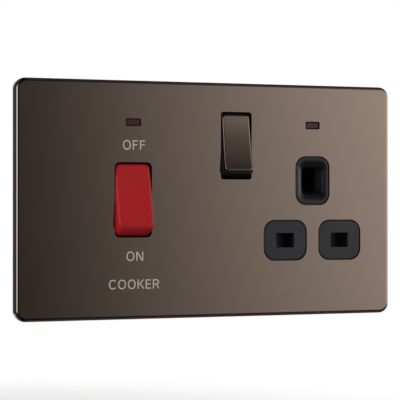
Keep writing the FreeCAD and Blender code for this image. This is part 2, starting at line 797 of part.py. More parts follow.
def add_cheeks(body, x, z, window_width, wall_back):
    """Two cheeks beside a rocker opening, for its bearings."""
    cheeks = []
    for side in (-1, 1):
        near, far = mirror_pair(side, window_width / 2, window_width / 2 + s.cheek)
        low, high = z - s.cheek_height / 2, z + s.cheek_height / 2
        cheeks.append(rectangle(x + near, x + far, low, high))
    add(body, "front", cheeks, wall_back, s.cheek_back)


def bore_bearings(body, x, z, rocker_width):
    """The blind bearing holes for a rocker's axle stubs."""
    reach = rocker_width / 2 + s.trunnion_length + s.bearing_end_gap
    hole = circle(pivot_y, z, s.trunnion_radius + s.bearing_gap)
    remove(body, "side", [hole], x - reach, x + reach)


def add_case_screw_holes(body, module, wall_back):
    """Bosses with pilot holes for the case screws, in a front moulding."""
    places = case_screw_places(module)
    bosses = [circle(x, z, s.body_screw_boss) for x, z in places]
    add(body, "front", bosses, wall_back, body_back)
    pilots = [circle(x, z, s.body_screw_radius + s.screw_gap) for x, z in places]
    pilot_end = body_back - s.body_screw_bite - s.screw_tip_gap
    remove(body, "front", pilots, pilot_end, body_back)


def bore_case_screws(body, module):
    """Clearance holes and deep head recesses for the case screws, in a base."""
    places = case_screw_places(module)
    shanks = [circle(x, z, s.body_screw_radius + 2 * s.screw_gap) for x, z in places]
    remove(body, "front", shanks, body_back, s.base_back)
    heads = [circle(x, z, s.body_screw_head + s.screw_gap) for x, z in places]
    remove(body, "front", heads, s.body_screw_seat, s.base_back)


block_middle = s.block_inner + s.block_width / 2
block_outer = s.block_inner + s.block_width
terminal_middle = s.block_reach - s.block_height / 2


def make_cooker_front_body():
    """The cooker switch's front moulding, in its own frame with X = 0 at the switch's middle."""
    body = new_body("cooker_front_body")
    half = s.cooker_half_width

    def layer(inset):
        return rectangle(
            inset - half,
            half - inset,
            s.cooker_bottom + inset,
            s.cooker_top - inset,
            s.mould_corner,
        )

    add(body, "front", [layer(s.ledge)], sheet_back, 0)
    add(body, "front", [layer(0)], 0, body_back)
    remove(body, "front", [layer(s.mould_wall)], cooker_wall_back, body_back)
    cooker_ears, _ = ear_places()
    add_ears(body, cooker_ears, s.cooker_x)
    add_cheeks(body, NO_SIZE, NO_SIZE, s.cooker_window_width, cooker_wall_back)
    window = centred(0, 0, s.cooker_window_width, s.cooker_window_height, s.cooker_window_corner)
    remove(body, "front", [window], sheet_back, body_back)
    bore_bearings(body, NO_SIZE, NO_SIZE, s.cooker_rocker_width)
    add_lamp_seat(body, NO_SIZE, cooker_wall_back)
    pillars = [
        circle(side * block_middle, level * terminal_middle, s.pillar_radius)
        for side in (-1, 1)
        for level in (-1, 1)
    ]
    add(body, "front", pillars, cooker_wall_back, strap_front)
    add_case_screw_holes(body, "cooker", cooker_wall_back)
    low = s.neutral_link_z - s.seat_gap
    high = s.neutral_link_z + s.link_width + s.seat_gap
    notch = rectangle(half - 2 * s.mould_wall, half + s.mould_wall, low, high)
    remove(body, "front", [notch], s.neutral_link_front - s.seat_gap, body_back)
    return locate(body, x=s.cooker_x)


def make_cooker_base():
    """The cooker switch's base: strap seats, switch chambers and terminal bays open to the back."""
    body = new_body("cooker_base")
    half = s.cooker_half_width
    case = rectangle(-half, half, s.cooker_bottom, s.cooker_top, s.mould_corner)
    add(body, "front", [case], body_back, s.base_back)
    gap = s.seat_gap
    arm = s.cooker_arm + s.chamber_gap
    contact = s.contact_width / 2 + s.chamber_gap
    inner = s.block_reach - s.block_height - gap
    chambers = []
    straps = []
    bays = []
    for side in (-1, 1):
        middle = side * s.pole_spacing / 2
        chambers.append(rectangle(middle - contact, middle + contact, -arm, arm))
        near, far = mirror_pair(side, s.strap_inner - gap, block_outer + gap)
        straps.append(rectangle(near, far, -s.block_reach - gap, s.strap_end + gap))
        straps.append(rectangle(near, far, s.load_strap_start - gap, s.block_reach + gap))
        near, far = mirror_pair(side, s.block_inner - gap, block_outer + gap)
        bays.append(rectangle(near, far, s.cooker_bottom - s.ledge, -inner))
        bays.append(rectangle(near, far, inner, s.cooker_top + s.ledge))
    remove(body, "front", chambers, body_back, strap_back)
    remove(body, "front", straps, body_back, strap_back)
    remove(body, "front", bays, strap_back, s.base_back)
    bore_case_screws(body, "cooker")
    low = s.line_link_z - gap
    high = s.line_link_z + s.link_width + gap
    notch = rectangle(block_outer, half + s.ledge, low, high)
    remove(body, "front", [notch], body_back, strap_front)
    seat = circle(s.cooker_resistor_x, s.cooker_resistor_z, s.resistor_radius + s.resistor_gap)
    seat_back = body_back + s.resistor_length + s.resistor_gap
    remove(body, "front", [seat], body_back, seat_back)
    core_top = inner - s.core_wall
    cores = [
        rectangle(
            *mirror_pair(side, s.core_wall / 2, half - 2 * s.core_wall),
            *mirror_pair(level, s.core_wall / 2, core_top),
            s.core_wall / 2,
        )
        for side in (-1, 1)
        for level in (-1, 1)
    ]
    remove(body, "front", cores, s.core_front, s.base_back)
    return locate(body, x=s.cooker_x)


def rocker_outline(radius, lip_depth, dish):
    """A rocker from its end: arced ends about the pivot, a flat rear and a dished or flat face."""
    lip = root(radius * radius - lip_depth * lip_depth)
    skirt = root(radius * radius - s.skirt_depth * s.skirt_depth)
    face = (-lip_depth, -lip) if dish is None else (-lip_depth, -lip, dish, -1)
    return outline(
        (s.skirt_depth, -skirt, radius, 1),
        (s.skirt_depth, skirt),
        (-lip_depth, lip, radius, 1),
        face,
    )


def hollow_rocker(body, half_width, radius, front, bore_places):
    """Hollows a rocker from the back and gives it plunger tubes and axle stubs."""
    inside = root(radius * radius - front * front) - s.rocker_wall
    across = half_width - s.rocker_wall
    remove(body, "front", [rectangle(-across, across, -inside, inside)], -front, s.skirt_depth)
    tubes = [circle(x, 0, s.plunger_boss_radius) for x in bore_places]
    add(body, "front", tubes, -front, s.plunger_boss_back)
    bores = [circle(x, 0, s.plunger_radius + s.plunger_gap) for x in bore_places]
    remove(body, "front", bores, -s.plunger_bore_front, s.plunger_boss_back)
    for side in (-1, 1):
        near, far = mirror_pair(side, half_width - s.rocker_wall / 2, half_width + s.trunnion_length)
        add(body, "side", [circle(0, 0, s.trunnion_radius)], near, far)


def make_cooker_rocker():
    """The red rocker: a hollow moulding with a dished face, in its own frame about the pivot."""
    body = new_body("cooker_rocker")
    half = s.cooker_rocker_width / 2
    profile = rocker_outline(s.cooker_rocker_radius, s.cooker_lip_depth, s.cooker_dish)
    pad = add(body, "side", [profile], -half, half)
    end = (s.cooker_rocker_radius - s.rocker_edge_round * 2).value

    def at_corner(edge):
        box = edge.BoundBox
        return box.XLength < TINY and abs(box.Center.z) > end and box.YLength > TINY

    corners = round_edges(body, pad, s.rocker_corner, at_corner)
    near_face = (s.rocker_face_wall / 2 - s.cooker_lip_depth).value

    def at_face(edge):
        return edge.BoundBox.YMax < near_face

    round_edges(body, corners, s.rocker_edge_round, at_face)
    front = s.cooker_lip_depth - s.rocker_face_wall
    places = [side * s.pole_spacing / 2 for side in (-1, 1)]
    hollow_rocker(body, half, s.cooker_rocker_radius, front, places)
    return locate(body, x=s.cooker_x, y=pivot_y, tilt=-s.cooker_tilt)


def cap_inside(gap):
    """The space under the metal cap: a flat rear, and a face that follows the cap's dish."""
    top = s.cap_half_height - s.cap_sheet - gap
    centre = -s.cap_lip_depth - root(s.cap_dish * s.cap_dish - s.cap_half_height * s.cap_half_height)
    bend = s.cap_dish + s.cap_sheet + gap
    level = centre + root(bend * bend - top * top)
    return outline(
        (-s.carrier_front, -top),
        (-s.carrier_front, top),
        (level, top),
        (level, -top, bend, -1),
    )


def make_rocker_carrier():
    """The black carrier of the socket rocker, with a raised tongue that the metal cap grips."""
    body = new_body("socket_rocker_carrier")
    half = s.carrier_width / 2
    profile = rocker_outline(s.carrier_radius, s.carrier_front, None)
    pad = add(body, "side", [profile], -half, half)
    end = (s.carrier_radius - s.rocker_edge_round * 2).value

    def at_corner(edge):
        box = edge.BoundBox
        return box.XLength < TINY and abs(box.Center.z) > end and box.YLength > TINY

    round_edges(body, pad, s.rocker_corner / 2, at_corner)
    tongue = s.cap_width / 2 - s.cap_sheet - s.plunger_gap
    add(body, "side", [cap_inside(s.plunger_gap)], -tongue, tongue)
    front = s.carrier_front - s.rocker_wall
    hollow_rocker(body, half, s.carrier_radius, front, [NO_SIZE])
    return locate(body, x=s.switch_x, y=pivot_y, z=s.switch_z, tilt=-s.switch_tilt)


def make_rocker_cap():
    """The dished metal cap of the socket rocker, a shallow tray pressed from sheet."""
    body = new_body("socket_rocker_cap")
    half = s.cap_width / 2
    profile = outline(
        (-s.carrier_front, -s.cap_half_height),
        (-s.carrier_front, s.cap_half_height),
        (-s.cap_lip_depth, s.cap_half_height),
        (-s.cap_lip_depth, -s.cap_half_height, s.cap_dish, -1),
    )
    pad = add(body, "side", [profile], -half, half)

    def at_corner(edge):
        box = edge.BoundBox
        return box.XLength < TINY and box.ZLength < TINY

    corners = round_edges(body, pad, s.cap_corner, at_corner)
    near_face = (s.cap_sheet - s.cap_lip_depth).value

    def at_face(edge):
        return edge.BoundBox.YMax < near_face

    round_edges(body, corners, s.cap_edge_round, at_face)
    inside = half - s.cap_sheet
    remove(body, "side", [cap_inside(NO_SIZE)], -inside, inside)
    return locate(body, x=s.switch_x, y=pivot_y, z=s.switch_z, tilt=-s.switch_tilt)


def make_plunger(name, x, z, tilt):
    """A domed plunger with a spring spigot, in the rocker's frame about the pivot."""
    dome = s.plunger_reach - s.plunger_radius
    shank = rod(f"{name}_shank", "Y", 0, s.plunger_back, 0, s.plunger_radius, dome - s.plunger_back)
    tip = doc.addObject("Part::Sphere", f"{name}_tip")
    bind(tip, {"Radius": s.plunger_radius})
    locate(tip, y=dome)
    spigot_start = s.plunger_back - s.spigot_length
    spigot_reach = s.spigot_length + s.plunger_radius
    spigot = rod(f"{name}_spigot", "Y", 0, spigot_start, 0, s.spigot_radius, spigot_reach)
    return locate(fuse(name, [shank, tip, spigot]), x, pivot_y, z, tilt)


def coil_shape(radius, wire, length, turns):
    """A closed wire spring along +Z, as a many-sided helix with a many-sided wire."""
    count = int(turns * COIL_SIDES)
    rise = (length - 2 * wire) / count
    points = [
        FreeCAD.Vector(
            radius * math.cos(2 * math.pi * k / COIL_SIDES),
            radius * math.sin(2 * math.pi * k / COIL_SIDES),
            wire + rise * k,
        )
        for k in range(count + 1)
    ]
    way = points[1] - points[0]
    ring = [
        FreeCAD.Vector(
            radius + wire * math.cos(2 * math.pi * k / WIRE_SIDES),
            0,
            wire + wire * math.sin(2 * math.pi * k / WIRE_SIDES),
        )
        for k in range(WIRE_SIDES + 1)
    ]
    section = Part.makePolygon(ring)
    upright = FreeCAD.Rotation(FreeCAD.Vector(0, 1, 0), way)
    section.Placement = around_point(points[0], upright)
    shell = Part.BRepOffsetAPI.MakePipeShell(Part.makePolygon(points))
    shell.setFrenetMode(True)
    shell.setTransitionMode(1)
    shell.add(section)
    shell.build()
    shell.makeSolid()
    return shell.shape()


def around_point(point, rotation):
    """The placement that turns a shape about a point."""
    return FreeCAD.Placement(point, rotation) * FreeCAD.Placement(-point, FreeCAD.Rotation())


def make_spring(name, shape, x, y, z, tilt=None):
    """A wire spring, set in its place after its coils are made."""
    item = doc.addObject("Part::Feature", name)
    item.Label = name
    item.Shape = shape
    return locate(item, x, y, z, tilt)


def make_plunger_spring(name, x, z, tilt):
    """The spring behind a plunger, from the bore's bottom to the plunger's shoulder."""
    length = s.plunger_back + s.plunger_bore_front
    shape = coil_shape(
        s.spring_radius.value, s.spring_wire.value, length.value, s.spring_turns.value
    )
    away = -s.plunger_bore_front
    y = pivot_y + away * cosine(tilt)
    return make_spring(name, shape, x, y, z + away * sine(tilt), tilt - 90)


def saddle_path(tilt, contact_tilt):
    """The arc that a plunger's tip follows as the see-saw sees it: its middle and its radius.
    The middle is measured from the turning point, towards the front."""
    reach = s.plunger_reach - s.plunger_radius
    lag = fulcrum_y - pivot_y
    y = reach * cosine(tilt) - lag
    z = reach * sine(tilt)
    seen_y = y * cosine(contact_tilt) - z * sine(contact_tilt)
    seen_z = y * sine(contact_tilt) + z * cosine(contact_tilt)
    drop = reach - lag - seen_y
    radius = (seen_z * seen_z + drop * drop) / (2 * drop)
    return radius - reach + lag, radius


def make_moving_contact(name, x, z, arm, tilt, contact_tilt):
    """A see-saw contact: a saddle under the plunger between two arms, with a silver tip on one."""
    middle, path = saddle_path(tilt, contact_tilt)
    hollow = path + s.plunger_radius + s.saddle_gap
    bulge = hollow + s.contact_sheet
    front = root(hollow * hollow - s.saddle_half * s.saddle_half) - middle
    back = front + s.contact_sheet
    back_half = root(bulge * bulge - (middle + back) * (middle + back))
    body = new_body(name)
    profile = outline(
        (front, -arm),
        (back, -arm),
        (back, -back_half),
        (back, back_half, bulge, 1),
        (back, arm),
        (front, arm),
        (front, s.saddle_half),
        (front, -s.saddle_half, hollow, -1),
    )
    half = s.contact_width / 2
    add(body, "side", [profile], -half, half)
    tip = circle(0, arm - s.tip_inset, s.tip_radius)
    add(body, "front", [tip], back, back + s.tip_height)
    return locate(body, x, fulcrum_y, z, contact_tilt)


def add_fulcrum(body, near, far, z):
    """The rounded rib that a see-saw contact rocks on."""
    y = saddle_y + s.contact_sheet + s.fulcrum_gap + s.fulcrum_radius
    add(body, "side", [circle(y, z, s.fulcrum_radius)], near, far)


def bore_block(body, x, block_z, height, radius, front):
    """The cable bore and the two screw threads of a terminal block."""
    bore_y = front + s.cable_bore_set_back
    remove(body, "top", [circle(x, bore_y, radius)], block_z, block_z + height)
    middle = block_z + height / 2
    threads = [
        circle(
            x,
            middle + side * s.terminal_screw_spacing / 2,
            s.terminal_screw_radius + s.terminal_thread_gap,
        )
        for side in (-1, 1)
    ]
    remove(body, "front", threads, bore_y, front + s.block_depth)


def make_cooker_terminal(name, side, is_supply):
    """A brass terminal block and its strap. The supply strap carries the see-saw's rib."""
    body = new_body(name)
    near, far = mirror_pair(side, s.strap_inner, block_outer)
    low, high = (-s.block_reach, s.strap_end) if is_supply else (s.load_strap_start, s.block_reach)
    add(body, "front", [rectangle(near, far, low, high)], strap_front, strap_back)
    near, far = mirror_pair(side, s.block_inner, block_outer)
    bottom = -s.block_reach if is_supply else s.block_reach - s.block_height
    block_outline = rectangle(near, far, bottom, bottom + s.block_height)
    add(body, "front", [block_outline], strap_back, strap_back + s.block_depth)
    if is_supply:
        middle = side * s.pole_spacing / 2
        half = s.contact_width / 2
        add_fulcrum(body, middle - half, middle + half, NO_SIZE)
    x = side * block_middle
    bore_block(body, x, bottom, s.block_height, s.cable_bore_radius, strap_back)
    return locate(body, x=s.cooker_x)


def screw(name, x, z, seat, tip, shank_radius, head_radius, head_depth):
    """A slotted screw along Y: its head's seat faces the front and its slot the back."""
    shank = rod(f"{name}_shank", "Y", x, tip, z, shank_radius, seat - tip)
    head = rod(f"{name}_head", "Y", x, seat, z, head_radius, head_depth)
    half_slot = s.screw_slot / 2
    slot = block(
        f"{name}_slot",
        (x - head_radius, x + head_radius),
        (seat + head_depth / 2, seat + 2 * head_depth),
        (z - half_slot, z + half_slot),
    )
    return cut(f"{name}_slotted", fuse(f"{name}_blank", [shank, head]), slot)


def make_terminal_screws(name, places, front, bore_radius):
    """Terminal screws, backed off for wiring. A place is the (x, z) of a block's middle."""
    bore_y = front + s.cable_bore_set_back
    tip = bore_y + bore_radius + s.terminal_thread_gap
    seat = front + s.block_depth + s.terminal_screw_stand
    pieces = []
    for x, z in places:
        for side in (-1, 1):
            level = z + side * s.terminal_screw_spacing / 2
            pieces.append(
                screw(
                    f"{name}_{len(pieces)}",
                    x,
                    level,
                    seat,
                    tip,
                    s.terminal_screw_radius,
                    s.terminal_screw_head,
                    s.terminal_screw_head_depth,
                )
            )
    return fuse(name, pieces)


def make_cooker_terminal_screws():
    """The eight screws of the cooker terminals."""
    places = [
        (s.cooker_x + side * block_middle, level * terminal_middle)
        for side in (-1, 1)
        for level in (-1, 1)
    ]
    return make_terminal_screws("cooker_terminal_screws", places, strap_back, s.cable_bore_radius)


def make_case_screws(name, module, middle):
    """The screws that join a front moulding to its base."""
    pieces = [
        screw(
            f"{name}_{index}",
            middle + x,
            z,
            s.body_screw_seat,
            body_back - s.body_screw_bite,
            s.body_screw_radius,
            s.body_screw_head,
            s.body_screw_head_depth,
        )
        for index, (x, z) in enumerate(case_screw_places(module))
    ]
    return fuse(name, pieces)


def make_module_screws():
    """The screws that hold both modules to the frame."""
    cooker, socket = ear_places()
    pieces = [
        screw(
            f"module_screw_{index}",
            x,
            z,
            s.ear_sheet,
            sheet_back + s.screw_tip_gap,
            s.ear_screw_radius,
            s.ear_screw_head,
            s.ear_screw_head_depth,
        )
        for index, (x, z, _) in enumerate(cooker + socket)
    ]
    return fuse("module_fixing_screws", pieces)


def make_lens(name, x):
    """A red indicator lens: a head in the plate's opening and a flange behind it."""
    body = new_body(name)
    width = s.lens_width - 2 * s.lens_gap
    height = s.lens_height - 2 * s.lens_gap
    head = centred(0, 0, width, height, s.lens_corner - s.lens_gap)
    add(body, "front", [head], plate_front + s.lens_set_back, sheet_back)
    flange = centred(0, 0, s.lens_width + 2 * s.lens_rim, s.lens_height + 2 * s.lens_rim, s.lens_corner)
    add(body, "front", [flange], sheet_back, sheet_back + s.lens_rim_depth)
    return locate(body, x=x, z=s.indicator_height)


def make_lamp(name, x):
    """A neon lamp: a glass tube along Y with a domed nose towards its lens."""
    nose = sheet_back + s.lens_rim_depth + s.lamp_gap
    dome_y = nose + s.lamp_radius
    tube = rod(f"{name}_tube", "Y", 0, dome_y, 0, s.lamp_radius, s.lamp_length - s.lamp_radius)
    dome = doc.addObject("Part::Sphere", f"{name}_dome")
    bind(dome, {"Radius": s.lamp_radius})
    locate(dome, y=dome_y)
    return locate(fuse(name, [tube, dome]), x=x, z=s.indicator_height)


def make_resistor(name, x, z):
    """A ballast resistor: a slim body between two caps."""
    rear = s.resistor_length - s.resistor_cap
    body = rod(f"{name}_body", "Y", 0, 0, 0, s.resistor_waist, s.resistor_length)
    front = rod(f"{name}_front_cap", "Y", 0, 0, 0, s.resistor_radius, s.resistor_cap)
    back = rod(f"{name}_back_cap", "Y", 0, rear, 0, s.resistor_radius, s.resistor_cap)
    return locate(fuse(name, [body, front, back]), x=x, y=body_back, z=z)


def socket_layer(inset, step):
    """The socket module's outline, drawn in by an inset, with its step lowered by another."""
    return stepped(
        s.socket_left + inset,
        s.socket_shoulder - inset,
        s.socket_right - inset,
        s.socket_bottom + inset,
        -s.box_lug_half - step,
        s.socket_top - inset,
        s.mould_corner,
    )


line_x = s.socket_x + pin_half
neutral_x = s.socket_x - pin_half
cover_top = s.pin_row + s.pin_slot_height / 2 + s.shutter_lap
cover_bottom = s.pin_row - s.pin_slot_height / 2 - s.shutter_lap
shutter_drop = s.pin_slot_height + s.shutter_lap
slot_foot = earth_row - s.earth_slot_height / 2


def make_socket_front_body():
    """The socket's front moulding, with the pin slots, the earth funnel and the rocker's bearings."""
    body = new_body("socket_front_body")
    add(body, "front", [socket_layer(s.ledge, s.step_ledge)], sheet_back, 0)
    add(body, "front", [socket_layer(NO_SIZE, NO_SIZE)], 0, body_back)
    hollow = socket_layer(s.mould_wall, s.mould_wall)
    remove(body, "front", [hollow], socket_wall_back, body_back)
    _, socket_ears = ear_places()
    add_ears(body, socket_ears, NO_SIZE)
    add_cheeks(body, s.switch_x, s.switch_z, s.switch_window_width, socket_wall_back)
    remove(body, "front", [switch_window()], sheet_back, body_back)
    bore_bearings(body, s.switch_x, s.switch_z, s.carrier_width)
    add_islands(body)
    slots = [
        centred(x, s.pin_row, s.pin_slot_width, s.pin_slot_height) for x in (neutral_x, line_x)
    ]
    earth_slot = centred(s.socket_x, earth_row, s.earth_slot_width, s.earth_slot_height)
    remove(body, "front", slots + [earth_slot], island_front, socket_wall_back)
    cut_funnel(body)
    add_lamp_seat(body, s.socket_x, socket_wall_back)
    add_case_screw_holes(body, "socket", socket_wall_back)
    add_shutter_guides(body)
    low = s.neutral_link_z - s.seat_gap
    high = s.neutral_link_z + s.link_width + s.seat_gap
    notch = rectangle(s.socket_left - s.ledge, s.socket_left + 2 * s.mould_wall, low, high)
    remove(body, "front", [notch], s.neutral_link_front - s.seat_gap, body_back)
    rest = circle(
        s.earth_block_x - s.block_width / 2 + s.pillar_radius,
        s.earth_block_z + s.block_height / 4,
        s.pillar_radius,
    )
    add(body, "front", [rest], socket_wall_back, s.earth_block_front)
    half = s.earth_strap_width / 2 + s.seat_gap
    foot = rectangle(
        s.earth_block_x - half,
        s.earth_block_x + half,
        s.earth_strap_z - s.seat_gap,
        s.earth_strap_z + s.earth_strap_foot + s.seat_gap,
    )
    remove(body, "front", [foot], sheet_back, sheet_back + s.earth_strap_sheet + s.seat_gap)
    leg = rectangle(
        s.earth_block_x - half,
        s.earth_block_x + half,
        s.earth_strap_z - s.seat_gap,
        s.earth_strap_z + s.earth_strap_sheet + s.seat_gap,
    )
    remove(body, "front", [leg], sheet_back, socket_wall_back)
    return body


def add_islands(body):
    """The raised islands round the pin slots, which stand in the plate's openings."""
    trim = 2 * s.island_gap
    wide = s.pin_window_width - trim
    tall = s.pin_window_height - trim
    corner = s.pin_window_corner - s.island_gap
    islands = [centred(x, s.pin_row, wide, tall, corner) for x in (neutral_x, line_x)]
    wide = s.earth_window_width - trim
    tall = s.earth_window_height - trim
    corner = s.earth_window_corner - s.island_gap
    islands.append(centred(s.socket_x, earth_row, wide, tall, corner))
    pad = add(body, "front", islands, island_front, sheet_back)
    front = island_front.value

    def on_front(edge):
        return edge.BoundBox.YMax < front + TINY

    round_edges(body, pad, s.island_round, on_front)


def cut_funnel(body):
    """The earth slot's funnel: sloped walls that lead from a narrow lip down to the slot."""
    inset = s.island_gap + s.funnel_lip
    wide = s.earth_window_width - 2 * inset
    tall = s.earth_window_height - 2 * inset
    mouth = new_sketch(body, "front", -island_front)
    fill(mouth, [centred(s.socket_x, earth_row, wide, tall, s.earth_window_corner - inset)])
    throat = new_sketch(body, "front", -island_front - s.funnel_depth)
    slot = centred(
        s.socket_x, earth_row, s.earth_slot_width, s.earth_slot_height, s.funnel_throat_corner
    )
    fill(throat, [slot])
    doc.recompute()
    funnel = body.newObject("PartDesign::SubtractiveLoft", f"{body.Name}_funnel")
    funnel.Profile = mouth
    funnel.Sections = [throat]
    funnel.Ruled = True
    body.Tip = funnel
    return funnel


def add_shutter_guides(body):
    """Ribs beside and above the shutter, and the peg under its spring."""
    inner = s.shutter_half_width + s.shutter_gap
    ribs = []
    for side in (-1, 1):
        near, far = mirror_pair(side, inner, inner + s.guide_width)
        bottom = cover_bottom - shutter_drop
        ribs.append(rectangle(s.socket_x + near, s.socket_x + far, bottom, cover_top))
        near, far = mirror_pair(side, s.ramp_half_width + s.guide_width, pin_half)
        stop = cover_top + s.seat_gap
        ribs.append(rectangle(s.socket_x + near, s.socket_x + far, stop, stop + s.guide_width))
    peg_half = s.return_spring_slot - s.seat_gap
    foot = s.return_spring_foot
    ribs.append(
        rectangle(s.socket_x - peg_half, s.socket_x + peg_half, foot - s.peg_height, foot)
    )
    add(body, "front", ribs, socket_wall_back, shutter_back)


def make_socket_base():
    """The socket's base: towers round the pin clips, strap seats and the earth terminal's bay."""
    body = new_body("socket_base")
    add(body, "front", [socket_layer(NO_SIZE, NO_SIZE)], body_back, s.base_back)
    gap = s.seat_gap
    across = s.clip_half_width + s.clip_gap
    up = s.clip_flare + s.clip_sheet + s.clip_gap
    towers = []
    cavities = []
    for x in (neutral_x, line_x):
        towers.append(
            centred(x, s.pin_row, 2 * (across + s.tower_wall), 2 * (up + s.tower_wall))
        )
        cavities.append(centred(x, s.pin_row, 2 * across, 2 * up))
    add(body, "front", towers, shutter_back + s.shutter_gap, body_back)
    remove(body, "front", cavities, shutter_back + s.shutter_gap, clip_web_back)
    earth_cavity = centred(
        s.socket_x, earth_row, 2 * up, 2 * (s.earth_half_height + s.clip_gap)
    )
    remove(body, "front", [earth_cavity], body_back, earth_web_back)
    contact = s.contact_width / 2
    arm = s.switch_arm + s.chamber_gap
    chamber = centred(s.switch_x, s.switch_z, 2 * (contact + s.chamber_gap), 2 * arm)
    remove(body, "front", [chamber], body_back, strap_front + s.link_sheet)
    low = s.line_link_z - gap
    high = s.line_link_z + s.link_width + gap
    link_end = s.switch_x + contact + gap
    entry = rectangle(s.socket_left - s.ledge, link_end, low, high)
    remove(body, "front", [entry], body_back, strap_front + s.link_sheet)
    riser = rectangle(s.switch_x - contact - gap, link_end, low, s.switch_z)
    remove(body, "front", [riser], body_back, strap_front + s.link_sheet)
    remove(body, "front", [line_strap_outline(gap)], body_back, clip_web_back)
    tab = rectangle(
        neutral_x - s.clip_half_width - s.neutral_tab - gap,
        neutral_x,
        s.neutral_link_z - gap,
        s.neutral_link_z + s.link_width + gap,
    )
    remove(body, "front", [tab], body_back, clip_web_back)
    half = s.block_width / 2 + gap
    bay = rectangle(
        s.earth_block_x - half,
        s.earth_block_x + half,
        s.earth_block_z - gap,
        s.socket_top + s.ledge,
    )
    remove(body, "front", [bay], body_back, s.base_back)
    remove(body, "front", [earth_strap_outline(gap)], body_back, earth_web_back)
    bore_case_screws(body, "socket")
    seat = circle(socket_resistor_x, socket_resistor_z, s.resistor_radius + s.resistor_gap)
    seat_back = body_back + s.resistor_length + s.resistor_gap
    remove(body, "front", [seat], body_back, seat_back)
    remove(body, "front", socket_cores(), s.core_front, s.base_back)
    return body


socket_resistor_x = s.socket_x
socket_resistor_z = earth_row + s.earth_half_height + s.pin_slot_height


def socket_cores():
    """The pockets that core out the back of the socket base."""
    wall = s.core_wall
    left = s.socket_left + 2 * wall
    right = s.socket_right - 2 * wall
    shoulder = s.socket_shoulder - wall
    top = s.socket_top - s.body_screw_inset - 2 * wall
    bottom = s.socket_bottom + s.body_screw_inset + 2 * wall
    middle = s.line_link_z + s.link_width + wall
    bay_half = s.block_width / 2 + s.seat_gap + wall
    bay_left = s.earth_block_x - bay_half
    bay_right = s.earth_block_x + bay_half
    earth_side = s.socket_x + s.clip_flare + s.clip_sheet + s.clip_gap + wall
    earth_top = earth_row + s.earth_half_height + s.clip_gap + wall
    edges = [
        (left, bay_left, middle + wall, top),
        (left, bay_left, bottom, middle),
        (bay_left + wall, right, bottom, cover_top),
        (earth_side, shoulder, cover_top + wall, earth_top - wall),
        (bay_right, shoulder, earth_top, top),
    ]
    return [rectangle(*edge, wall / 2) for edge in edges]


def make_line_link():
    """A joggled strap from the cooker's line supply to the socket switch, with the see-saw's rib."""
    body = new_body("line_link")
    start = s.cooker_x + block_outer - s.link_lap
    bend = s.socket_left + s.mould_wall
    end = s.switch_x + s.contact_width / 2
    near = strap_front - s.link_sheet
    far = strap_front + s.link_sheet
    flat_run = outline(
        (start, near),
        (bend, near),
        (bend + s.link_sheet, strap_front),
        (end, strap_front),
        (end, far),
        (bend + s.link_sheet - s.joggle_slack, far),
        (bend - s.joggle_slack, strap_front),
        (start, strap_front),
    )
    add(body, "top", [flat_run], s.line_link_z, s.line_link_z + s.link_width)
    low = s.switch_x - s.contact_width / 2
    riser = rectangle(low, end, s.line_link_z, s.switch_z + s.strap_end)
    add(body, "front", [riser], strap_front, far)
    add_fulcrum(body, low, end, s.switch_z)
    return body


def make_neutral_link():
    """A strap from the cooker's neutral supply, stepped forwards to pass clear of the line strap."""
    body = new_body("neutral_link")
    start = s.cooker_x - block_outer
    leg = start + s.link_lap
    far_leg = neutral_x - s.clip_half_width - s.neutral_tab
    sheet_of_link = s.link_sheet
    lap = strap_front - sheet_of_link
    front = s.neutral_link_front
    foot = s.clip_web_front - sheet_of_link
    path = outline(
        (start, lap),
        (leg - sheet_of_link, lap),
        (leg - sheet_of_link, front),
        (far_leg + sheet_of_link, front),
        (far_leg + sheet_of_link, foot),
        (far_leg + s.link_foot, foot),
        (far_leg + s.link_foot, s.clip_web_front),
        (far_leg, s.clip_web_front),
        (far_leg, front + sheet_of_link),
        (leg, front + sheet_of_link),
        (leg, strap_front),
        (start, strap_front),
    )
    add(body, "top", [path], s.neutral_link_z, s.neutral_link_z + s.link_width)
    return body


def clip_outline(across, web_back, throat, mouth, swap):
    """A pin clip from its end: a web, two leaves that close to a throat, and flared mouths."""
    sheet_of_clip = s.clip_sheet
    web_front = web_back - s.clip_web
    points = [
        (web_back, -s.clip_root - sheet_of_clip),
        (web_back, s.clip_root + sheet_of_clip),
        (throat, s.clip_grip + sheet_of_clip),
        (mouth, s.clip_flare + sheet_of_clip),
        (mouth, s.clip_flare),
        (throat, s.clip_grip),
        (web_front, s.clip_root),
        (web_front, -s.clip_root),
        (throat, -s.clip_grip),
        (mouth, -s.clip_flare),
        (mouth, -s.clip_flare - sheet_of_clip),
        (throat, -s.clip_grip - sheet_of_clip),
    ]
    if swap:
        return outline(*[(across + b, a) for a, b in points])
    return outline(*[(a, across + b) for a, b in points])


def line_strap_outline(gap):
    """The line clip's strap from the front: up to the clip on the right, up to the switch on the left."""
    left = s.line_strap_x - gap
    right = s.line_strap_x + s.line_strap_width + gap
    bottom = s.line_strap_z - gap
    tip_z = s.switch_z + s.switch_arm - s.tip_inset
    reach = s.rivet_radius + s.seat_gap + gap
    clip = s.clip_half_width + gap
    root_z = s.pin_row - s.clip_root
    return outline(
        (left, bottom),
        (line_x + clip, bottom),
        (line_x + clip, root_z),
        (line_x - clip, root_z),
        (line_x - clip, s.line_strap_z + s.line_strap_height + gap),
        (right, s.line_strap_z + s.line_strap_height + gap),
        (right, tip_z + reach),
        (s.switch_x - reach, tip_z + reach),
        (s.switch_x - reach, tip_z - reach),
        (left, tip_z - reach),
    )


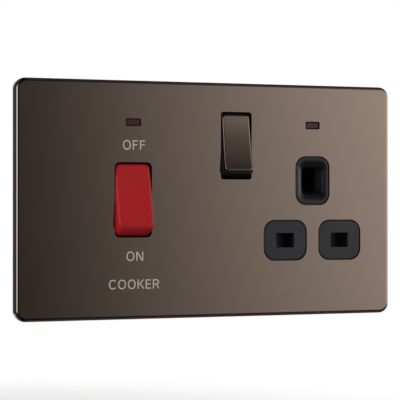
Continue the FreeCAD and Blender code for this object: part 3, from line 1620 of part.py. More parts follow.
def make_line_contact():
    """The line pin clip, its strap and the fixed contact of the socket switch."""
    body = new_body("socket_line_contact")
    clip = clip_outline(s.pin_row, clip_web_back, s.clip_throat, s.clip_mouth, False)
    add(body, "side", [clip], line_x - s.clip_half_width, line_x + s.clip_half_width)
    add(body, "front", [line_strap_outline(NO_SIZE)], s.clip_web_front, clip_web_back)
    rivet = circle(s.switch_x, s.switch_z + s.switch_arm - s.tip_inset, s.rivet_radius)
    add(body, "front", [rivet], strap_front, s.clip_web_front)
    return body


def make_neutral_contact():
    """The neutral pin clip, with a side tab for its link."""
    body = new_body("socket_neutral_contact")
    clip = clip_outline(s.pin_row, clip_web_back, s.clip_throat, s.clip_mouth, False)
    add(body, "side", [clip], neutral_x - s.clip_half_width, neutral_x + s.clip_half_width)
    tab = rectangle(
        neutral_x - s.clip_half_width - s.neutral_tab,
        neutral_x,
        s.neutral_link_z,
        s.neutral_link_z + s.link_width,
    )
    add(body, "front", [tab], s.clip_web_front, clip_web_back)
    return body


def earth_strap_outline(gap):
    """The earth clip's strap from the front: across from the clip, then up to its terminal."""
    left = s.earth_block_x - s.block_width / 2 + s.terminal_screw_stand - gap
    right = s.earth_block_x + s.block_width / 2 - s.terminal_screw_stand + gap
    low = earth_row - s.line_strap_height / 2 - gap
    high = earth_row + s.line_strap_height / 2 + gap
    edge = s.socket_x - s.clip_root
    return outline(
        (left, low),
        (edge, low),
        (edge, high),
        (right, high),
        (right, s.earth_block_z),
        (left, s.earth_block_z),
    )


def make_earth_contact():
    """The earth pin clip and its strap to the earth terminal."""
    body = new_body("socket_earth_contact")
    clip = clip_outline(s.socket_x, earth_web_back, s.earth_throat, s.earth_mouth, True)
    add(body, "top", [clip], earth_row - s.earth_half_height, earth_row + s.earth_half_height)
    add(body, "front", [earth_strap_outline(NO_SIZE)], s.earth_web_front, earth_web_back)
    return body


def make_earth_terminal():
    """The earth terminal block, with a blind bore that opens upwards."""
    body = new_body("earth_terminal")
    half = s.block_width / 2
    top = s.earth_block_z + s.block_height
    shape = rectangle(s.earth_block_x - half, s.earth_block_x + half, s.earth_block_z, top)
    back = s.earth_block_front + s.block_depth
    add(body, "front", [shape], s.earth_block_front, back)
    bore_y = s.earth_block_front + s.cable_bore_set_back
    bore = circle(s.earth_block_x, bore_y, s.earth_bore_radius)
    remove(body, "top", [bore], s.earth_block_z + s.earth_bore_end, top)
    middle = s.earth_block_z + s.block_height / 2
    thread = s.terminal_screw_radius + s.terminal_thread_gap
    threads = [
        circle(s.earth_block_x, middle + side * s.terminal_screw_spacing / 2, thread)
        for side in (-1, 1)
    ]
    remove(body, "front", threads, bore_y, back)
    return body


def make_earth_strap():
    """A bent strip that earths the metal plate: a foot on the plate, a leg, a foot on the terminal."""
    body = new_body("plate_earth_strap")
    foot = s.earth_strap_z + s.earth_strap_foot
    inner = s.earth_strap_z + s.earth_strap_sheet
    profile = outline(
        (sheet_back, s.earth_strap_z),
        (s.earth_block_front, s.earth_strap_z),
        (s.earth_block_front, foot),
        (s.earth_block_front - s.earth_strap_sheet, foot),
        (s.earth_block_front - s.earth_strap_sheet, inner),
        (sheet_back + s.earth_strap_sheet, inner),
        (sheet_back + s.earth_strap_sheet, foot),
        (sheet_back, foot),
    )
    half = s.earth_strap_width / 2
    add(body, "side", [profile], s.earth_block_x - half, s.earth_block_x + half)
    return body


def make_shutter():
    """The safety shutter: a bar over the line and neutral slots, and a ramp that the earth pin drives."""
    body = new_body("shutter")
    half = s.shutter_half_width
    bar = rectangle(
        s.socket_x - half, s.socket_x + half, cover_bottom, cover_top, s.shutter_corner
    )
    add(body, "front", [bar], s.shutter_front, shutter_back)
    ramp_half = s.ramp_half_width
    back = s.shutter_front + shutter_drop
    ramp = outline(
        (s.shutter_front, cover_bottom + s.ledge),
        (shutter_back, cover_bottom + s.ledge),
        (shutter_back, slot_foot + s.shutter_sheet - s.ramp_skin),
        (back, slot_foot + shutter_drop - s.ramp_skin),
        (back, slot_foot + shutter_drop),
        (s.shutter_front, slot_foot),
    )
    add(body, "side", [ramp], s.socket_x - ramp_half, s.socket_x + ramp_half)
    slot = rectangle(
        s.socket_x - s.return_spring_slot,
        s.socket_x + s.return_spring_slot,
        cover_bottom - s.ledge,
        s.return_spring_top,
    )
    remove(body, "front", [slot], s.shutter_front, shutter_back)
    return body


def make_return_spring():
    """The shutter's return spring, upright in the shutter's slot."""
    length = s.return_spring_top - s.return_spring_foot
    shape = coil_shape(
        s.return_spring_radius.value,
        s.return_spring_wire.value,
        length.value,
        s.return_spring_turns.value,
    )
    middle = s.shutter_front + s.shutter_sheet / 2
    return make_spring("shutter_spring", shape, s.socket_x, middle, s.return_spring_foot)


def make_poles():
    """The line and neutral pieces of the cooker switch."""
    pieces = []
    for side, pole in ((1, "line"), (-1, "neutral")):
        x = s.cooker_x + side * s.pole_spacing / 2
        tilt = -s.cooker_tilt
        contact = f"cooker_moving_contact_{pole}"
        pieces += [
            make_plunger(f"cooker_plunger_{pole}", x, NO_SIZE, tilt),
            make_plunger_spring(f"cooker_plunger_spring_{pole}", x, NO_SIZE, tilt),
            make_moving_contact(
                contact, x, NO_SIZE, s.cooker_arm, s.cooker_tilt, s.cooker_contact_tilt
            ),
            make_cooker_terminal(f"cooker_supply_terminal_{pole}", side, True),
            make_cooker_terminal(f"cooker_load_terminal_{pole}", side, False),
        ]
    return pieces


def make_socket_switch():
    """The pieces of the socket's single-pole switch."""
    x, z, tilt = s.switch_x, s.switch_z, -s.switch_tilt
    return [
        make_rocker_carrier(),
        make_rocker_cap(),
        make_plunger("socket_plunger", x, z, tilt),
        make_plunger_spring("socket_plunger_spring", x, z, tilt),
        make_moving_contact(
            "socket_moving_contact", x, z, s.switch_arm, s.switch_tilt, s.switch_contact_tilt
        ),
    ]


def make_indicators():
    """Lens, lamp and resistor of both halves."""
    return [
        make_lens("cooker_indicator_lens", s.cooker_x),
        make_lamp("cooker_indicator_lamp", s.cooker_x),
        make_resistor(
            "cooker_indicator_resistor", s.cooker_x + s.cooker_resistor_x, s.cooker_resistor_z
        ),
        make_lens("socket_indicator_lens", s.socket_x),
        make_lamp("socket_indicator_lamp", s.socket_x),
        make_resistor("socket_indicator_resistor", socket_resistor_x, socket_resistor_z),
    ]


def make_earth_screws():
    """The two screws of the earth terminal."""
    place = (s.earth_block_x, s.earth_block_z + s.block_height / 2)
    front = s.earth_block_front
    return make_terminal_screws("earth_terminal_screws", [place], front, s.earth_bore_radius)


pieces = [
    make_front_plate(),
    make_support_frame(),
    make_module_screws(),
    make_cooker_front_body(),
    make_cooker_base(),
    make_cooker_rocker(),
    *make_poles(),
    make_cooker_terminal_screws(),
    make_case_screws("cooker_case_screws", "cooker", s.cooker_x),
    make_socket_front_body(),
    make_socket_base(),
    *make_socket_switch(),
    make_line_link(),
    make_neutral_link(),
    make_line_contact(),
    make_neutral_contact(),
    make_earth_contact(),
    make_earth_terminal(),
    make_earth_screws(),
    make_earth_strap(),
    make_shutter(),
    make_return_spring(),
    make_case_screws("socket_case_screws", "socket", NO_SIZE),
    *make_indicators(),
]
doc.recompute()

for item in doc.Objects:
    if any(word in item.State for word in ("Invalid", "Error")):
        raise RuntimeError(f"{item.Label} did not compute: {item.State}")
for piece in pieces:
    if piece.Shape.isNull() or not piece.Shape.isValid() or piece.Shape.Volume <= 0:
        raise RuntimeError(f"{piece.Label} has no sound shape")

os.makedirs(STEP_FOLDER, exist_ok=True)
for piece in pieces:
    piece.Shape.exportStep(f"{STEP_FOLDER}/{piece.Label}.step")
    print(piece.Label, len(piece.Shape.Solids), round(piece.Shape.Volume, 1))
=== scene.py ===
import json
import bpy
import numpy as np
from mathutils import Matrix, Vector


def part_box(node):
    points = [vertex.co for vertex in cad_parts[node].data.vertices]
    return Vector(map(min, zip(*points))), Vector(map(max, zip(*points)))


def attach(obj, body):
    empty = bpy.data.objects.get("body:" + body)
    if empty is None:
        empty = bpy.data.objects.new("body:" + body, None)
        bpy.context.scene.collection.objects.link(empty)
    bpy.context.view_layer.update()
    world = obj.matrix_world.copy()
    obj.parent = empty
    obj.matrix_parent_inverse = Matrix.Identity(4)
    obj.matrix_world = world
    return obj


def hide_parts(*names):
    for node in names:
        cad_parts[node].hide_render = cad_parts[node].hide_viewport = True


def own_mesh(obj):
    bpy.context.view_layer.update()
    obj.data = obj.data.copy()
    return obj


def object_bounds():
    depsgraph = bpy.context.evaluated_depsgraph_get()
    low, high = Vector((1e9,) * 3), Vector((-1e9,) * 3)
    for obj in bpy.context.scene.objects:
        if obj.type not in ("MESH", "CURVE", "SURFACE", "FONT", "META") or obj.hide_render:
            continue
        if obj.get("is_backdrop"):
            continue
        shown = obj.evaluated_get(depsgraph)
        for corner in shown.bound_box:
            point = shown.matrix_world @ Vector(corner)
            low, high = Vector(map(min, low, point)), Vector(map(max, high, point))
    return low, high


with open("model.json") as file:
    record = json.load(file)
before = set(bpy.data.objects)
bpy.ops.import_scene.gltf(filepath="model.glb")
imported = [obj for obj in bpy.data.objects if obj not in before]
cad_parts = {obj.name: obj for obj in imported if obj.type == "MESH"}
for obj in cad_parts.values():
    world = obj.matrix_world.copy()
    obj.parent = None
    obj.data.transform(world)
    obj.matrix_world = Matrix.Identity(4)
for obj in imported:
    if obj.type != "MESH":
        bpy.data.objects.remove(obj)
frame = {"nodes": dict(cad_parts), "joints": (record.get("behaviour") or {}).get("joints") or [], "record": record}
CAD_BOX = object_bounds()

# Lengths are in metres in the frame of the CAD: X right, Y into the wall, Z up.
MM = 0.001
PLATE_FRONT = -4.0 * MM
WHITE = (1.0, 1.0, 1.0, 1.0)

# Cells of slow drift in colour and gloss over a metre of surface.
DRIFT_SCALE = 70.0
# The socket's moulding is blasted down to the first depth and polished from the second, where its colour also
# turns darker as painted shade in the holes.
BLASTED_UNSHADED_TO, POLISHED_SHADED_FROM = -3.82 * MM, -3.55 * MM
# How far the box of a lens reaches past what the plate shows of it, and the width of the painted shade round its
# edge.
LENS_RIM, LENS_SHADE_WIDTH = 1.1 * MM, 0.5 * MM
# The specular level left in that edge, lowered as painted shade where the plate's opening shades it.
SHADED = 0.06


def linear(colour):
    """An sRGB hex colour as the linear numbers that a shader takes."""
    parts = np.array([int(colour[k : k + 2], 16) for k in (0, 2, 4)]) / 255
    curve = np.where(parts <= 0.04045, parts / 12.92, ((parts + 0.055) / 1.055) ** 2.4)
    return (*curve.tolist(), 1.0)


def node(tree, kind, inputs=None, **settings):
    """Adds one node with its settings. An input is a value, or a socket that is linked to it."""
    item = tree.nodes.new(kind)
    for key, value in settings.items():
        setattr(item, key, value)
    for key, value in (inputs or {}).items():
        if isinstance(value, bpy.types.NodeSocket):
            tree.links.new(value, item.inputs[key])
        else:
            item.inputs[key].default_value = value
    return item


def put(name, data):
    """An object for a mesh, lamp or camera, in the scene."""
    item = bpy.data.objects.new(name, data)
    bpy.context.scene.collection.objects.link(item)
    return item


def finish(name, colour, roughness, grain_mm, height_mm, haze=0.0, tint=0.0, **extra):
    """A material on Object coordinates. Its grain is a bump of a size and height in millimetres,
    its base colour drifts by tint and its roughness by haze, both over a centimetre or two."""
    material = bpy.data.materials.new(name)
    material.use_nodes = True
    tree = material.node_tree
    shader = tree.nodes["Principled BSDF"]
    place = node(tree, "ShaderNodeTexCoord").outputs["Object"]
    grain = node(
        tree,
        "ShaderNodeTexNoise",
        {"Vector": place, "Scale": 1 / (grain_mm * MM), "Detail": 3.0, "Roughness": 0.6},
    )
    bump = node(
        tree,
        "ShaderNodeBump",
        {"Height": grain.outputs["Fac"], "Strength": 1.0, "Distance": height_mm * MM},
    )
    tree.links.new(bump.outputs["Normal"], shader.inputs["Normal"])
    drift = node(
        tree, "ShaderNodeTexNoise", {"Vector": place, "Scale": DRIFT_SCALE, "Detail": 5.0}
    )
    # The noise lies mostly between 0.3 and 0.7.
    spread = node(
        tree,
        "ShaderNodeMapRange",
        {
            "Value": drift.outputs["Fac"],
            "From Min": 0.3,
            "From Max": 0.7,
            "To Min": roughness - haze,
            "To Max": roughness + haze,
        },
    )
    tree.links.new(spread.outputs["Result"], shader.inputs["Roughness"])
    base = np.array(linear(colour)[:3])
    dark = (*(base * (1 - tint)).tolist(), 1.0)
    light = (*(base * (1 + tint)).clip(0, 1).tolist(), 1.0)
    shade = node(
        tree, "ShaderNodeMix", {0: drift.outputs["Fac"], 6: dark, 7: light}, data_type="RGBA"
    )
    tree.links.new(shade.outputs[2], shader.inputs["Base Color"])
    for key, value in extra.items():
        shader.inputs[key.replace("_", " ")].default_value = value
    return material


def deeper(material, start, end, colour, roughness):
    """Turns a finish into a second colour and roughness between two places along Y."""
    tree = material.node_tree
    shader = tree.nodes["Principled BSDF"]
    place = node(tree, "ShaderNodeTexCoord").outputs["Object"]
    along = node(tree, "ShaderNodeSeparateXYZ", {"Vector": place}).outputs["Y"]
    share = node(
        tree, "ShaderNodeMapRange", {"Value": along, "From Min": start, "From Max": end}
    ).outputs["Result"]
    first = shader.inputs["Base Color"].links[0].from_socket
    shade = node(
        tree, "ShaderNodeMix", {0: share, 6: first, 7: linear(colour)}, data_type="RGBA"
    )
    first = shader.inputs["Roughness"].links[0].from_socket
    gloss = node(tree, "ShaderNodeMix", {0: share, 2: first, 3: roughness})
    tree.links.new(shade.outputs[2], shader.inputs["Base Color"])
    tree.links.new(gloss.outputs[0], shader.inputs["Roughness"])


def painted_edge_shade(material, box, rim, width, colour):
    """Paints shade round a lens, seen along Y, where it sinks into its opening: the finish turns darker and less
    glossy there. The share grows over a width with the distance |max(|p - c| - h, 0)| to the rounded middle of the
    lens, whose box has a rim that is hidden behind the plate."""
    tree = material.node_tree
    shader = tree.nodes["Principled BSDF"]
    low, high = (np.array(corner) for corner in box)
    flat = np.array([1.0, 0.0, 1.0])
    half = ((high - low) / 2 - rim - 1.2 * width) * flat
    away = node(tree, "ShaderNodeTexCoord").outputs["Object"]
    for operation, other in (
        ("SUBTRACT", (low + high) / 2),
        ("MULTIPLY", flat),
        ("ABSOLUTE", flat),
        ("SUBTRACT", half),
        ("MAXIMUM", 0 * flat),
    ):
        away = node(
            tree, "ShaderNodeVectorMath", {0: away, 1: other.tolist()}, operation=operation
        ).outputs[0]
    reach = node(tree, "ShaderNodeVectorMath", {0: away}, operation="LENGTH").outputs["Value"]
    # The edge ends far outside this lens, so that it leaves the other lens alone.
    edge, near = (
        node(
            tree,
            "ShaderNodeMapRange",
            {"Value": reach, "From Min": start * width, "From Max": end * width},
        )
        for start, end in ((0.2, 1), (20, 21))
    )
    share = node(
        tree, "ShaderNodeMath", {0: edge.outputs[0], 1: near.outputs[0]}, operation="SUBTRACT"
    ).outputs[0]
    first = shader.inputs["Base Color"].links[0].from_socket
    shade = node(tree, "ShaderNodeMix", {0: share, 6: first, 7: linear(colour)}, data_type="RGBA")
    tree.links.new(shade.outputs[2], shader.inputs["Base Color"])
    level = shader.inputs["Specular IOR Level"]
    gleam = node(tree, "ShaderNodeMix", {0: share, 2: level.default_value, 3: SHADED})
    tree.links.new(gleam.outputs[0], level)


# The grains of 0.15 to 0.9 mm are coarser than most real ones, which wouldn't show in a render.

# Steel sheet with bright nickel and a dark tinted top plating: smooth and reflective, with a slight
# warm tint and faint polishing haze.
black_nickel = finish(
    "black_nickel_plate", "968478", 0.075, 0.9, 0.0002, haze=0.015, tint=0.02, Metallic=1.0
)
# Urea moulding from a tool that is blasted on the face and polished in the pin holes, where its colour is also
# darkened as painted shade.
urea = finish("charcoal_urea", "212124", 0.3, 0.3, 0.002, haze=0.04, tint=0.06)
deeper(urea, BLASTED_UNSHADED_TO, POLISHED_SHADED_FROM, "111112", 0.14)
# Polycarbonate moulding, black, with a dull gloss.
black_pc = finish(
    "black_polycarbonate", "0c0c0d", 0.42, 0.4, 0.002, haze=0.04, tint=0.05, Specular_IOR_Level=0.4
)
# Urea moulding in signal red from a polished tool: deep colour, soft gloss, a faint flow texture.
red_urea = finish(
    "red_urea", "a0161a", 0.3, 0.8, 0.002, haze=0.04, tint=0.04, Specular_IOR_Level=0.4
)
# Clear red acrylic over an unlit lamp: dark maroon, with painted shade, near black and less glossy, where its edge
# sits in the body.
acrylic = finish("dark_red_acrylic", "3c181c", 0.2, 0.5, 0.002, tint=0.05)
for name in ("cooker_indicator_lens", "socket_indicator_lens"):
    painted_edge_shade(acrylic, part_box(name), LENS_RIM, LENS_SHADE_WIDTH, "080506")
# Natural nylon moulding of the plungers: milky, with a dull gloss.
nylon = finish("natural_nylon", "d8d0bd", 0.45, 0.5, 0.003, haze=0.05, tint=0.04)
# Metals as they come from the press, the plating bath or the drawing die: bright, a little hazy.
brass = finish("stamped_brass", "c2a35c", 0.28, 0.5, 0.002, haze=0.08, tint=0.05, Metallic=1.0)
copper = finish("stamped_copper", "c57b57", 0.3, 0.5, 0.002, haze=0.08, tint=0.06, Metallic=1.0)
zinc = finish("zinc_plated_steel", "c4c6c2", 0.34, 0.25, 0.003, haze=0.08, tint=0.05, Metallic=1.0)
spring = finish("spring_steel_wire", "a9aaaa", 0.3, 0.2, 0.001, haze=0.05, tint=0.03, Metallic=1.0)
# The lamps' clear glass, and the resistors' lacquered ceramic.
lamp_glass = finish("lamp_glass", "e8ddd2", 0.05, 0.8, 0.001, Transmission_Weight=1.0, IOR=1.5)
ceramic = finish("lacquered_ceramic", "a8855c", 0.35, 0.3, 0.003, haze=0.05, tint=0.06)
# Screen-printed pale grey ink, a little raised and matt.
ink = finish("printed_grey_ink", "b6b2a9", 0.6, 0.15, 0.002, haze=0.05, tint=0.03)

LOOKS = {
    "dark_plated_metal": black_nickel,
    "charcoal_moulding": urea,
    "black_moulding": black_pc,
    "red_moulding": red_urea,
    "nylon": nylon,
    "brass": brass,
    "copper": copper,
    "zinc_steel": zinc,
    "spring_steel": spring,
    "red_lens": acrylic,
    "lamp_glass": lamp_glass,
    "resistor_ceramic": ceramic,
}
for part in frame["record"]["subparts"]:
    held = frame["nodes"][part["node"]]
    for place in held.material_slots:
        place.material = LOOKS[part["material_slot"]]


def grid_faces(rows, columns, wrap_rows=False):
    """Quads between neighbouring points of a grid that closes on itself across its columns."""
    row = np.arange(rows if wrap_rows else rows - 1)[:, None]
    column = np.arange(columns)[None, :]
    after_row = (row + 1) % rows
    after_column = (column + 1) % columns
    corners = [
        row * columns + column,
        after_row * columns + column,
        after_row * columns + after_column,
        row * columns + after_column,
    ]
    return np.stack([np.broadcast_to(c, (row.size, columns)) for c in corners], -1).reshape(-1, 4)


def bar(path, width, closed):
    """A bar of rectangular section along a path in a plane: at each point half the width is stepped
    off along the mitre of the two directions that meet there. Gives points (u, v, w), where w is 0
    on one face and 1 on the other, and faces."""
    p = np.asarray(path, float)
    if closed:
        before, after = np.roll(p, 1, 0), np.roll(p, -1, 0)
    else:
        before = np.vstack([2 * p[0] - p[1], p[:-1]])
        after = np.vstack([p[1:], 2 * p[-1] - p[-2]])
    here = (p - before) / np.linalg.norm(p - before, axis=1, keepdims=True)
    there = (after - p) / np.linalg.norm(after - p, axis=1, keepdims=True)
    way = here + there
    way /= np.linalg.norm(way, axis=1, keepdims=True)
    side = np.stack([-way[:, 1], way[:, 0]], 1) / np.sum(way * here, 1, keepdims=True)
    corners = []
    for across, deep in ((-0.5, 0), (0.5, 0), (0.5, 1), (-0.5, 1)):
        corners.append(np.column_stack([p + side * width * across, np.full(len(p), deep)]))
    points = np.stack(corners, 1).reshape(-1, 3)
    faces = grid_faces(len(p), 4, wrap_rows=closed).tolist()
    if not closed:
        last = 4 * (len(p) - 1)
        faces += [[0, 1, 2, 3], [last + 3, last + 2, last + 1, last]]
    return points, faces


def make(name, groups, material, body):
    """One mesh out of several closed groups of points and faces. A group whose signed volume, the
    sum of a . (b x c) / 6 over its triangles, is negative has its faces turned."""
    points, faces, start = [], [], 0
    for some_points, some_faces in groups:
        fans = [[f[0], f[k], f[k + 1]] for f in some_faces for k in range(1, len(f) - 1)]
        a, b, c = np.moveaxis(some_points[fans], 1, 0)
        order = 1 if np.sum(a * np.cross(b, c)) > 0 else -1
        points.append(some_points)
        faces += [[start + corner for corner in face[::order]] for face in some_faces]
        start += len(some_points)
    mesh = bpy.data.meshes.new(name)
    mesh.from_pydata(np.vstack(points).tolist(), [], faces)
    mesh.materials.append(material)
    made = put(name, mesh)
    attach(made, body)
    return made


def round_letter(start, end, steps=40):
    """A rounded letter's middle line: an ellipse with slightly squared shoulders, from one angle to
    another. x and y are the signed powers 0.9 of the cosine and the sine."""
    angle = np.radians(np.linspace(start, end, steps, endpoint=end - start < 360))
    x = np.sign(np.cos(angle)) * np.abs(np.cos(angle)) ** 0.9
    y = np.sign(np.sin(angle)) * np.abs(np.sin(angle)) ** 0.9
    return np.column_stack([0.435 + 0.38 * x, 0.5 + 0.46 * y])


def bowl(steps=16):
    """The bowl of the letter R: two level lines joined by half an ellipse."""
    angle = np.radians(np.linspace(90, -90, steps))
    curve = np.column_stack([0.4 + 0.25 * np.cos(angle), 0.71 + 0.235 * np.sin(angle)])
    return np.vstack([[0.11, 0.945], curve, [0.11, 0.475]])


def arm(end, height):
    """A level line from a letter's upright."""
    return [[0.11, height], [end, height]]


# Letters by their middle lines, for a cap height of 1: width, then lines.
UPRIGHT = [[0.06, 0], [0.06, 1]]
LETTERS = {
    "O": (0.87, [round_letter(0, 360)]),
    "C": (0.81, [round_letter(42, 318)]),
    "F": (0.57, [UPRIGHT, arm(0.57, 0.945), arm(0.52, 0.52)]),
    "E": (0.6, [UPRIGHT, arm(0.59, 0.945), arm(0.55, 0.52), arm(0.6, 0.055)]),
    "N": (0.79, [UPRIGHT, [[0.735, 0], [0.735, 1]], [[0.13, 0.95], [0.66, 0.05]]]),
    "K": (0.69, [UPRIGHT, [[0.11, 0.38], [0.65, 0.99]], [[0.3, 0.58], [0.68, 0.01]]]),
    "R": (0.71, [UPRIGHT, bowl(), [[0.4, 0.47], [0.67, 0.01]]]),
}
LINE = 0.115
LETTER_GAP = 0.235
INK = 0.03 * MM


def write(text, left, low, height):
    """A printed legend on the plate. Each point (u, v, w) of a letter's bars lands at
    X = left + u * height, Z = low + v * height and Y = plate + ink / 3 - w * ink."""
    groups = []
    pen = 0.0
    for letter in text:
        width, lines = LETTERS[letter]
        for line in lines:
            points, faces = bar(line, LINE, closed=letter == "O")
            across, up, out = points.T
            placed = [left + (across + pen) * height, PLATE_FRONT + INK / 3 - out * INK]
            groups.append((np.column_stack([*placed, low + up * height]), faces))
        pen += width + LETTER_GAP
    make("legend_" + text.lower(), groups, ink, "unit")


# Points of a ring between two corners, and on one corner.
SIDE_POINTS, CORNER_POINTS = 10, 11


def ring(half_width, half_height, corner):
    """A rounded rectangle about the origin, counterclockwise: each corner is a quarter of a
    circle, and the straight sides are shared out evenly. Rings of any size match point by point."""
    sides = []
    for quarter, (right, up) in enumerate(((1, 1), (-1, 1), (-1, -1), (1, -1))):
        angle = np.radians(90 * quarter + np.linspace(0, 90, CORNER_POINTS))
        middle = np.array([right * (half_width - corner), up * (half_height - corner)])
        sides.append(middle + corner * np.column_stack([np.cos(angle), np.sin(angle)]))
    points = []
    for side, after in zip(sides, sides[1:] + sides[:1]):
        share = np.arange(1, SIDE_POINTS + 1)[:, None] / (SIDE_POINTS + 1)
        points += [side, side[-1] + (after[0] - side[-1]) * share]
    return np.vstack(points)


def shell(name, rings, tip, thickness, body, material):
    """One surface through rings of points (x, y, z), closed by the point tip if there is one, and
    given its thickness on the far side by Solidify."""
    count = len(rings[0])
    points = np.vstack(rings)
    faces = grid_faces(len(rings), count)[:, ::-1].tolist()
    if tip is not None:
        last = (len(rings) - 1) * count
        points = np.vstack([points, tip])
        faces += [[last + k, last + (k + 1) % count, len(points) - 1] for k in range(count)]
    mesh = bpy.data.meshes.new(name)
    mesh.from_pydata(points.tolist(), [], faces)
    mesh.polygons.foreach_set("use_smooth", [True] * len(faces))
    mesh.materials.append(material)
    made = put(name, mesh)
    solid = made.modifiers.new("thickness", "SOLIDIFY")
    solid.thickness = thickness
    solid.offset = -1.0
    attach(made, body)
    return made


def rocker_cap():
    """The socket rocker's cap with a fine surface, in millimetres until it is placed. In the
    rocker's own frame its face is a dish of radius r, y = -c + sqrt(r^2 - z^2), and its edge a
    quarter of a circle. It is then turned about the pivot by the rocker's tilt at rest:
    y = y' cos t - z' sin t, z = y' sin t + z' cos t."""
    half_width, half_height, corner, edge, lip, dish = 5.35, 10.5, 1.0, 0.5, 6.2, 130.0
    # Heights of the skirt's first rings, close together so that its lower edge looks crisp.
    skirt = (4.9, 4.93, 5.0)
    pivot, tilt = np.array([10.2, 0.6, 19.88]), np.radians(-10.5)
    middle = lip + np.sqrt(dish**2 - half_height**2)

    def level(z):
        """Where the dished face lies at a height z."""
        return -middle + np.sqrt(dish**2 - z**2)

    outer = ring(half_width, half_height, corner)
    rings = [np.insert(outer, 1, -height, axis=1) for height in skirt]
    for angle in np.radians(np.linspace(0, 90, 13)):
        inward = edge * (1 - np.cos(angle))
        now = ring(half_width - inward, half_height - inward, corner - inward)
        depth = level(now[:, 1]) + edge * (1 - np.sin(angle))
        rings.append(np.insert(now, 1, depth, axis=1))
    flat = ring(half_width - edge, half_height - edge, corner - edge)
    for share in np.linspace(0.97, 0.15, 14):
        now = flat * share
        rings.append(np.insert(now, 1, level(now[:, 1]), axis=1))
    rings.append(np.array([[0.0, level(0.0), 0.0]]))
    placed = []
    for x, y, z in (points.T for points in rings):
        turned = [y * np.cos(tilt) - z * np.sin(tilt), y * np.sin(tilt) + z * np.cos(tilt)]
        placed.append((np.column_stack([x, *turned]) + pivot) * MM)
    tip = placed.pop()
    cap = shell(
        "rocker_cap", placed, tip, 0.5 * MM, "socket_rocker_body", black_nickel
    )
    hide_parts("socket_rocker_cap")


def earth_funnel():
    """The mouth of the earth pin's funnel, on the socket's front moulding, in millimetres until it
    is placed. Its profile is a path whose tilt grows from the flat lip to 25 degrees, then to the
    slopes' 60 degrees, then round into the slot: inward = sum of step cos tilt, depth = sum of
    step sin tilt. Above and below the slot the way inward s runs ahead as 1 - (1 - s)^2, so that
    the slopes there stay gentle for longer."""
    # Half width, half height and corner radius of the mouth and the slot, and their place.
    mouth, slot = np.array([6.0, 8.2, 3.3]), np.array([2.4, 4.25, 0.4])
    across, lip, up = 41.0, -3.87, 7.23
    # Number of steps, length of a step, and the first and last tilt in degrees.
    stretches = (
        (6, 0.05, 0, 25),
        (8, 0.18, 25, 25),
        (6, 0.03, 25, 60),
        (12, 0.3, 60, 60),
        (5, 0.03, 60, 90),
    )
    tilt = np.radians(np.concatenate([np.linspace(a, b, n) for n, _, a, b in stretches]))
    step = np.concatenate([np.full(n, length) for n, length, _, _ in stretches])
    inward = np.append(0.0, np.cumsum(step * np.cos(tilt)))
    depth = np.append(0.0, np.cumsum(step * np.sin(tilt)))
    rings = []
    for share, deep in zip(inward / inward[-1], depth):
        rise = 1 - (1 - share) ** 2
        now = ring(*(mouth + (slot - mouth) * [share, rise, share])) + [across, up]
        rings.append(np.insert(now, 1, deep + lip, axis=1) * MM)
    shell("earth_funnel_mouth", rings, None, 0.02 * MM, "unit", urea)


# Points of a spring's path in a turn, sides of its wire, and the climb of a closed turn, as a
# multiple of the wire's radius: a little over its diameter.
TURN_POINTS, WIRE_SIDES, CLOSED_CLIMB = 40, 12, 2.1


def coil(name, turns, joint_name, body, wire=0.2 * MM, closed=1):
    """A round-wire spring in place of the one in the model, squeezed by a slide. The wire has a
    radius of wire, and its middle runs along (r cos t, r sin t, h(t)), where h climbs by about a
    diameter in the closed turn at each end and evenly between them. The wire's round section
    stands across the path."""
    node_mesh = frame["nodes"][name].data
    corners = np.empty(len(node_mesh.vertices) * 3)
    node_mesh.vertices.foreach_get("co", corners)
    corners = corners.reshape(-1, 3)
    joint = next(item for item in frame["joints"] if item["name"] == joint_name)
    axis = np.array(joint["axis"]) / np.linalg.norm(joint["axis"])
    along = corners @ axis
    low, high = along.min(), along.max()
    off = corners - along[:, None] * axis
    middle = (off.max(0) + off.min(0)) / 2
    middle -= (middle @ axis) * axis
    side = np.array([1.0, 0.0, 0.0])
    up = np.cross(axis, side)
    radius = np.ptp(off @ side) / 2 - wire
    turn = np.linspace(0, turns, turns * TURN_POINTS + 1)
    top, ends = high - low - 2 * wire, CLOSED_CLIMB * wire * closed
    climb = np.interp(turn, [0, closed, turns - closed, turns], [0, ends, top - ends, top])
    angle = 2 * np.pi * turn
    outward = np.cos(angle)[:, None] * side + np.sin(angle)[:, None] * up
    path = middle + (low + wire + climb)[:, None] * axis + radius * outward
    way = np.gradient(path, axis=0)
    way /= np.linalg.norm(way, axis=1, keepdims=True)
    third = np.cross(way, outward)
    third /= np.linalg.norm(third, axis=1, keepdims=True)
    around = np.linspace(0, 2 * np.pi, WIRE_SIDES, endpoint=False)[None, :, None]
    points = path[:, None] + wire * (
        np.cos(around) * outward[:, None] + np.sin(around) * third[:, None]
    )
    faces = grid_faces(len(path), WIRE_SIDES).tolist()
    first = list(range(WIRE_SIDES))
    faces += [first, [len(path) * WIRE_SIDES - 1 - k for k in first]]
    made = make("fine_" + name, [(points.reshape(-1, 3), faces)], spring, body)
    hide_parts(name)
    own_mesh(made)
    made.data.polygons.foreach_set("use_smooth", [True] * len(faces))


rocker_cap()
earth_funnel()
for pole in ("line", "neutral"):
    coil(f"cooker_plunger_spring_{pole}", 5, f"cooker_plunger_{pole}_slide", "cooker_rocker_body")
coil("socket_plunger_spring", 5, "socket_plunger_slide", "socket_rocker_body")
coil("shutter_spring", 8, "shutter_slide", "unit")
# Left end, foot and cap height of each legend, in millimetres.
for text, sizes in (
    ("OFF", (-33.55, 18.05, 3.35)),
    ("ON", (-32.2, -21.9, 3.3)),
    ("COOKER", (-38.8, -31.95, 3.3)),
):
    write(text, *(size * MM for size in sizes))


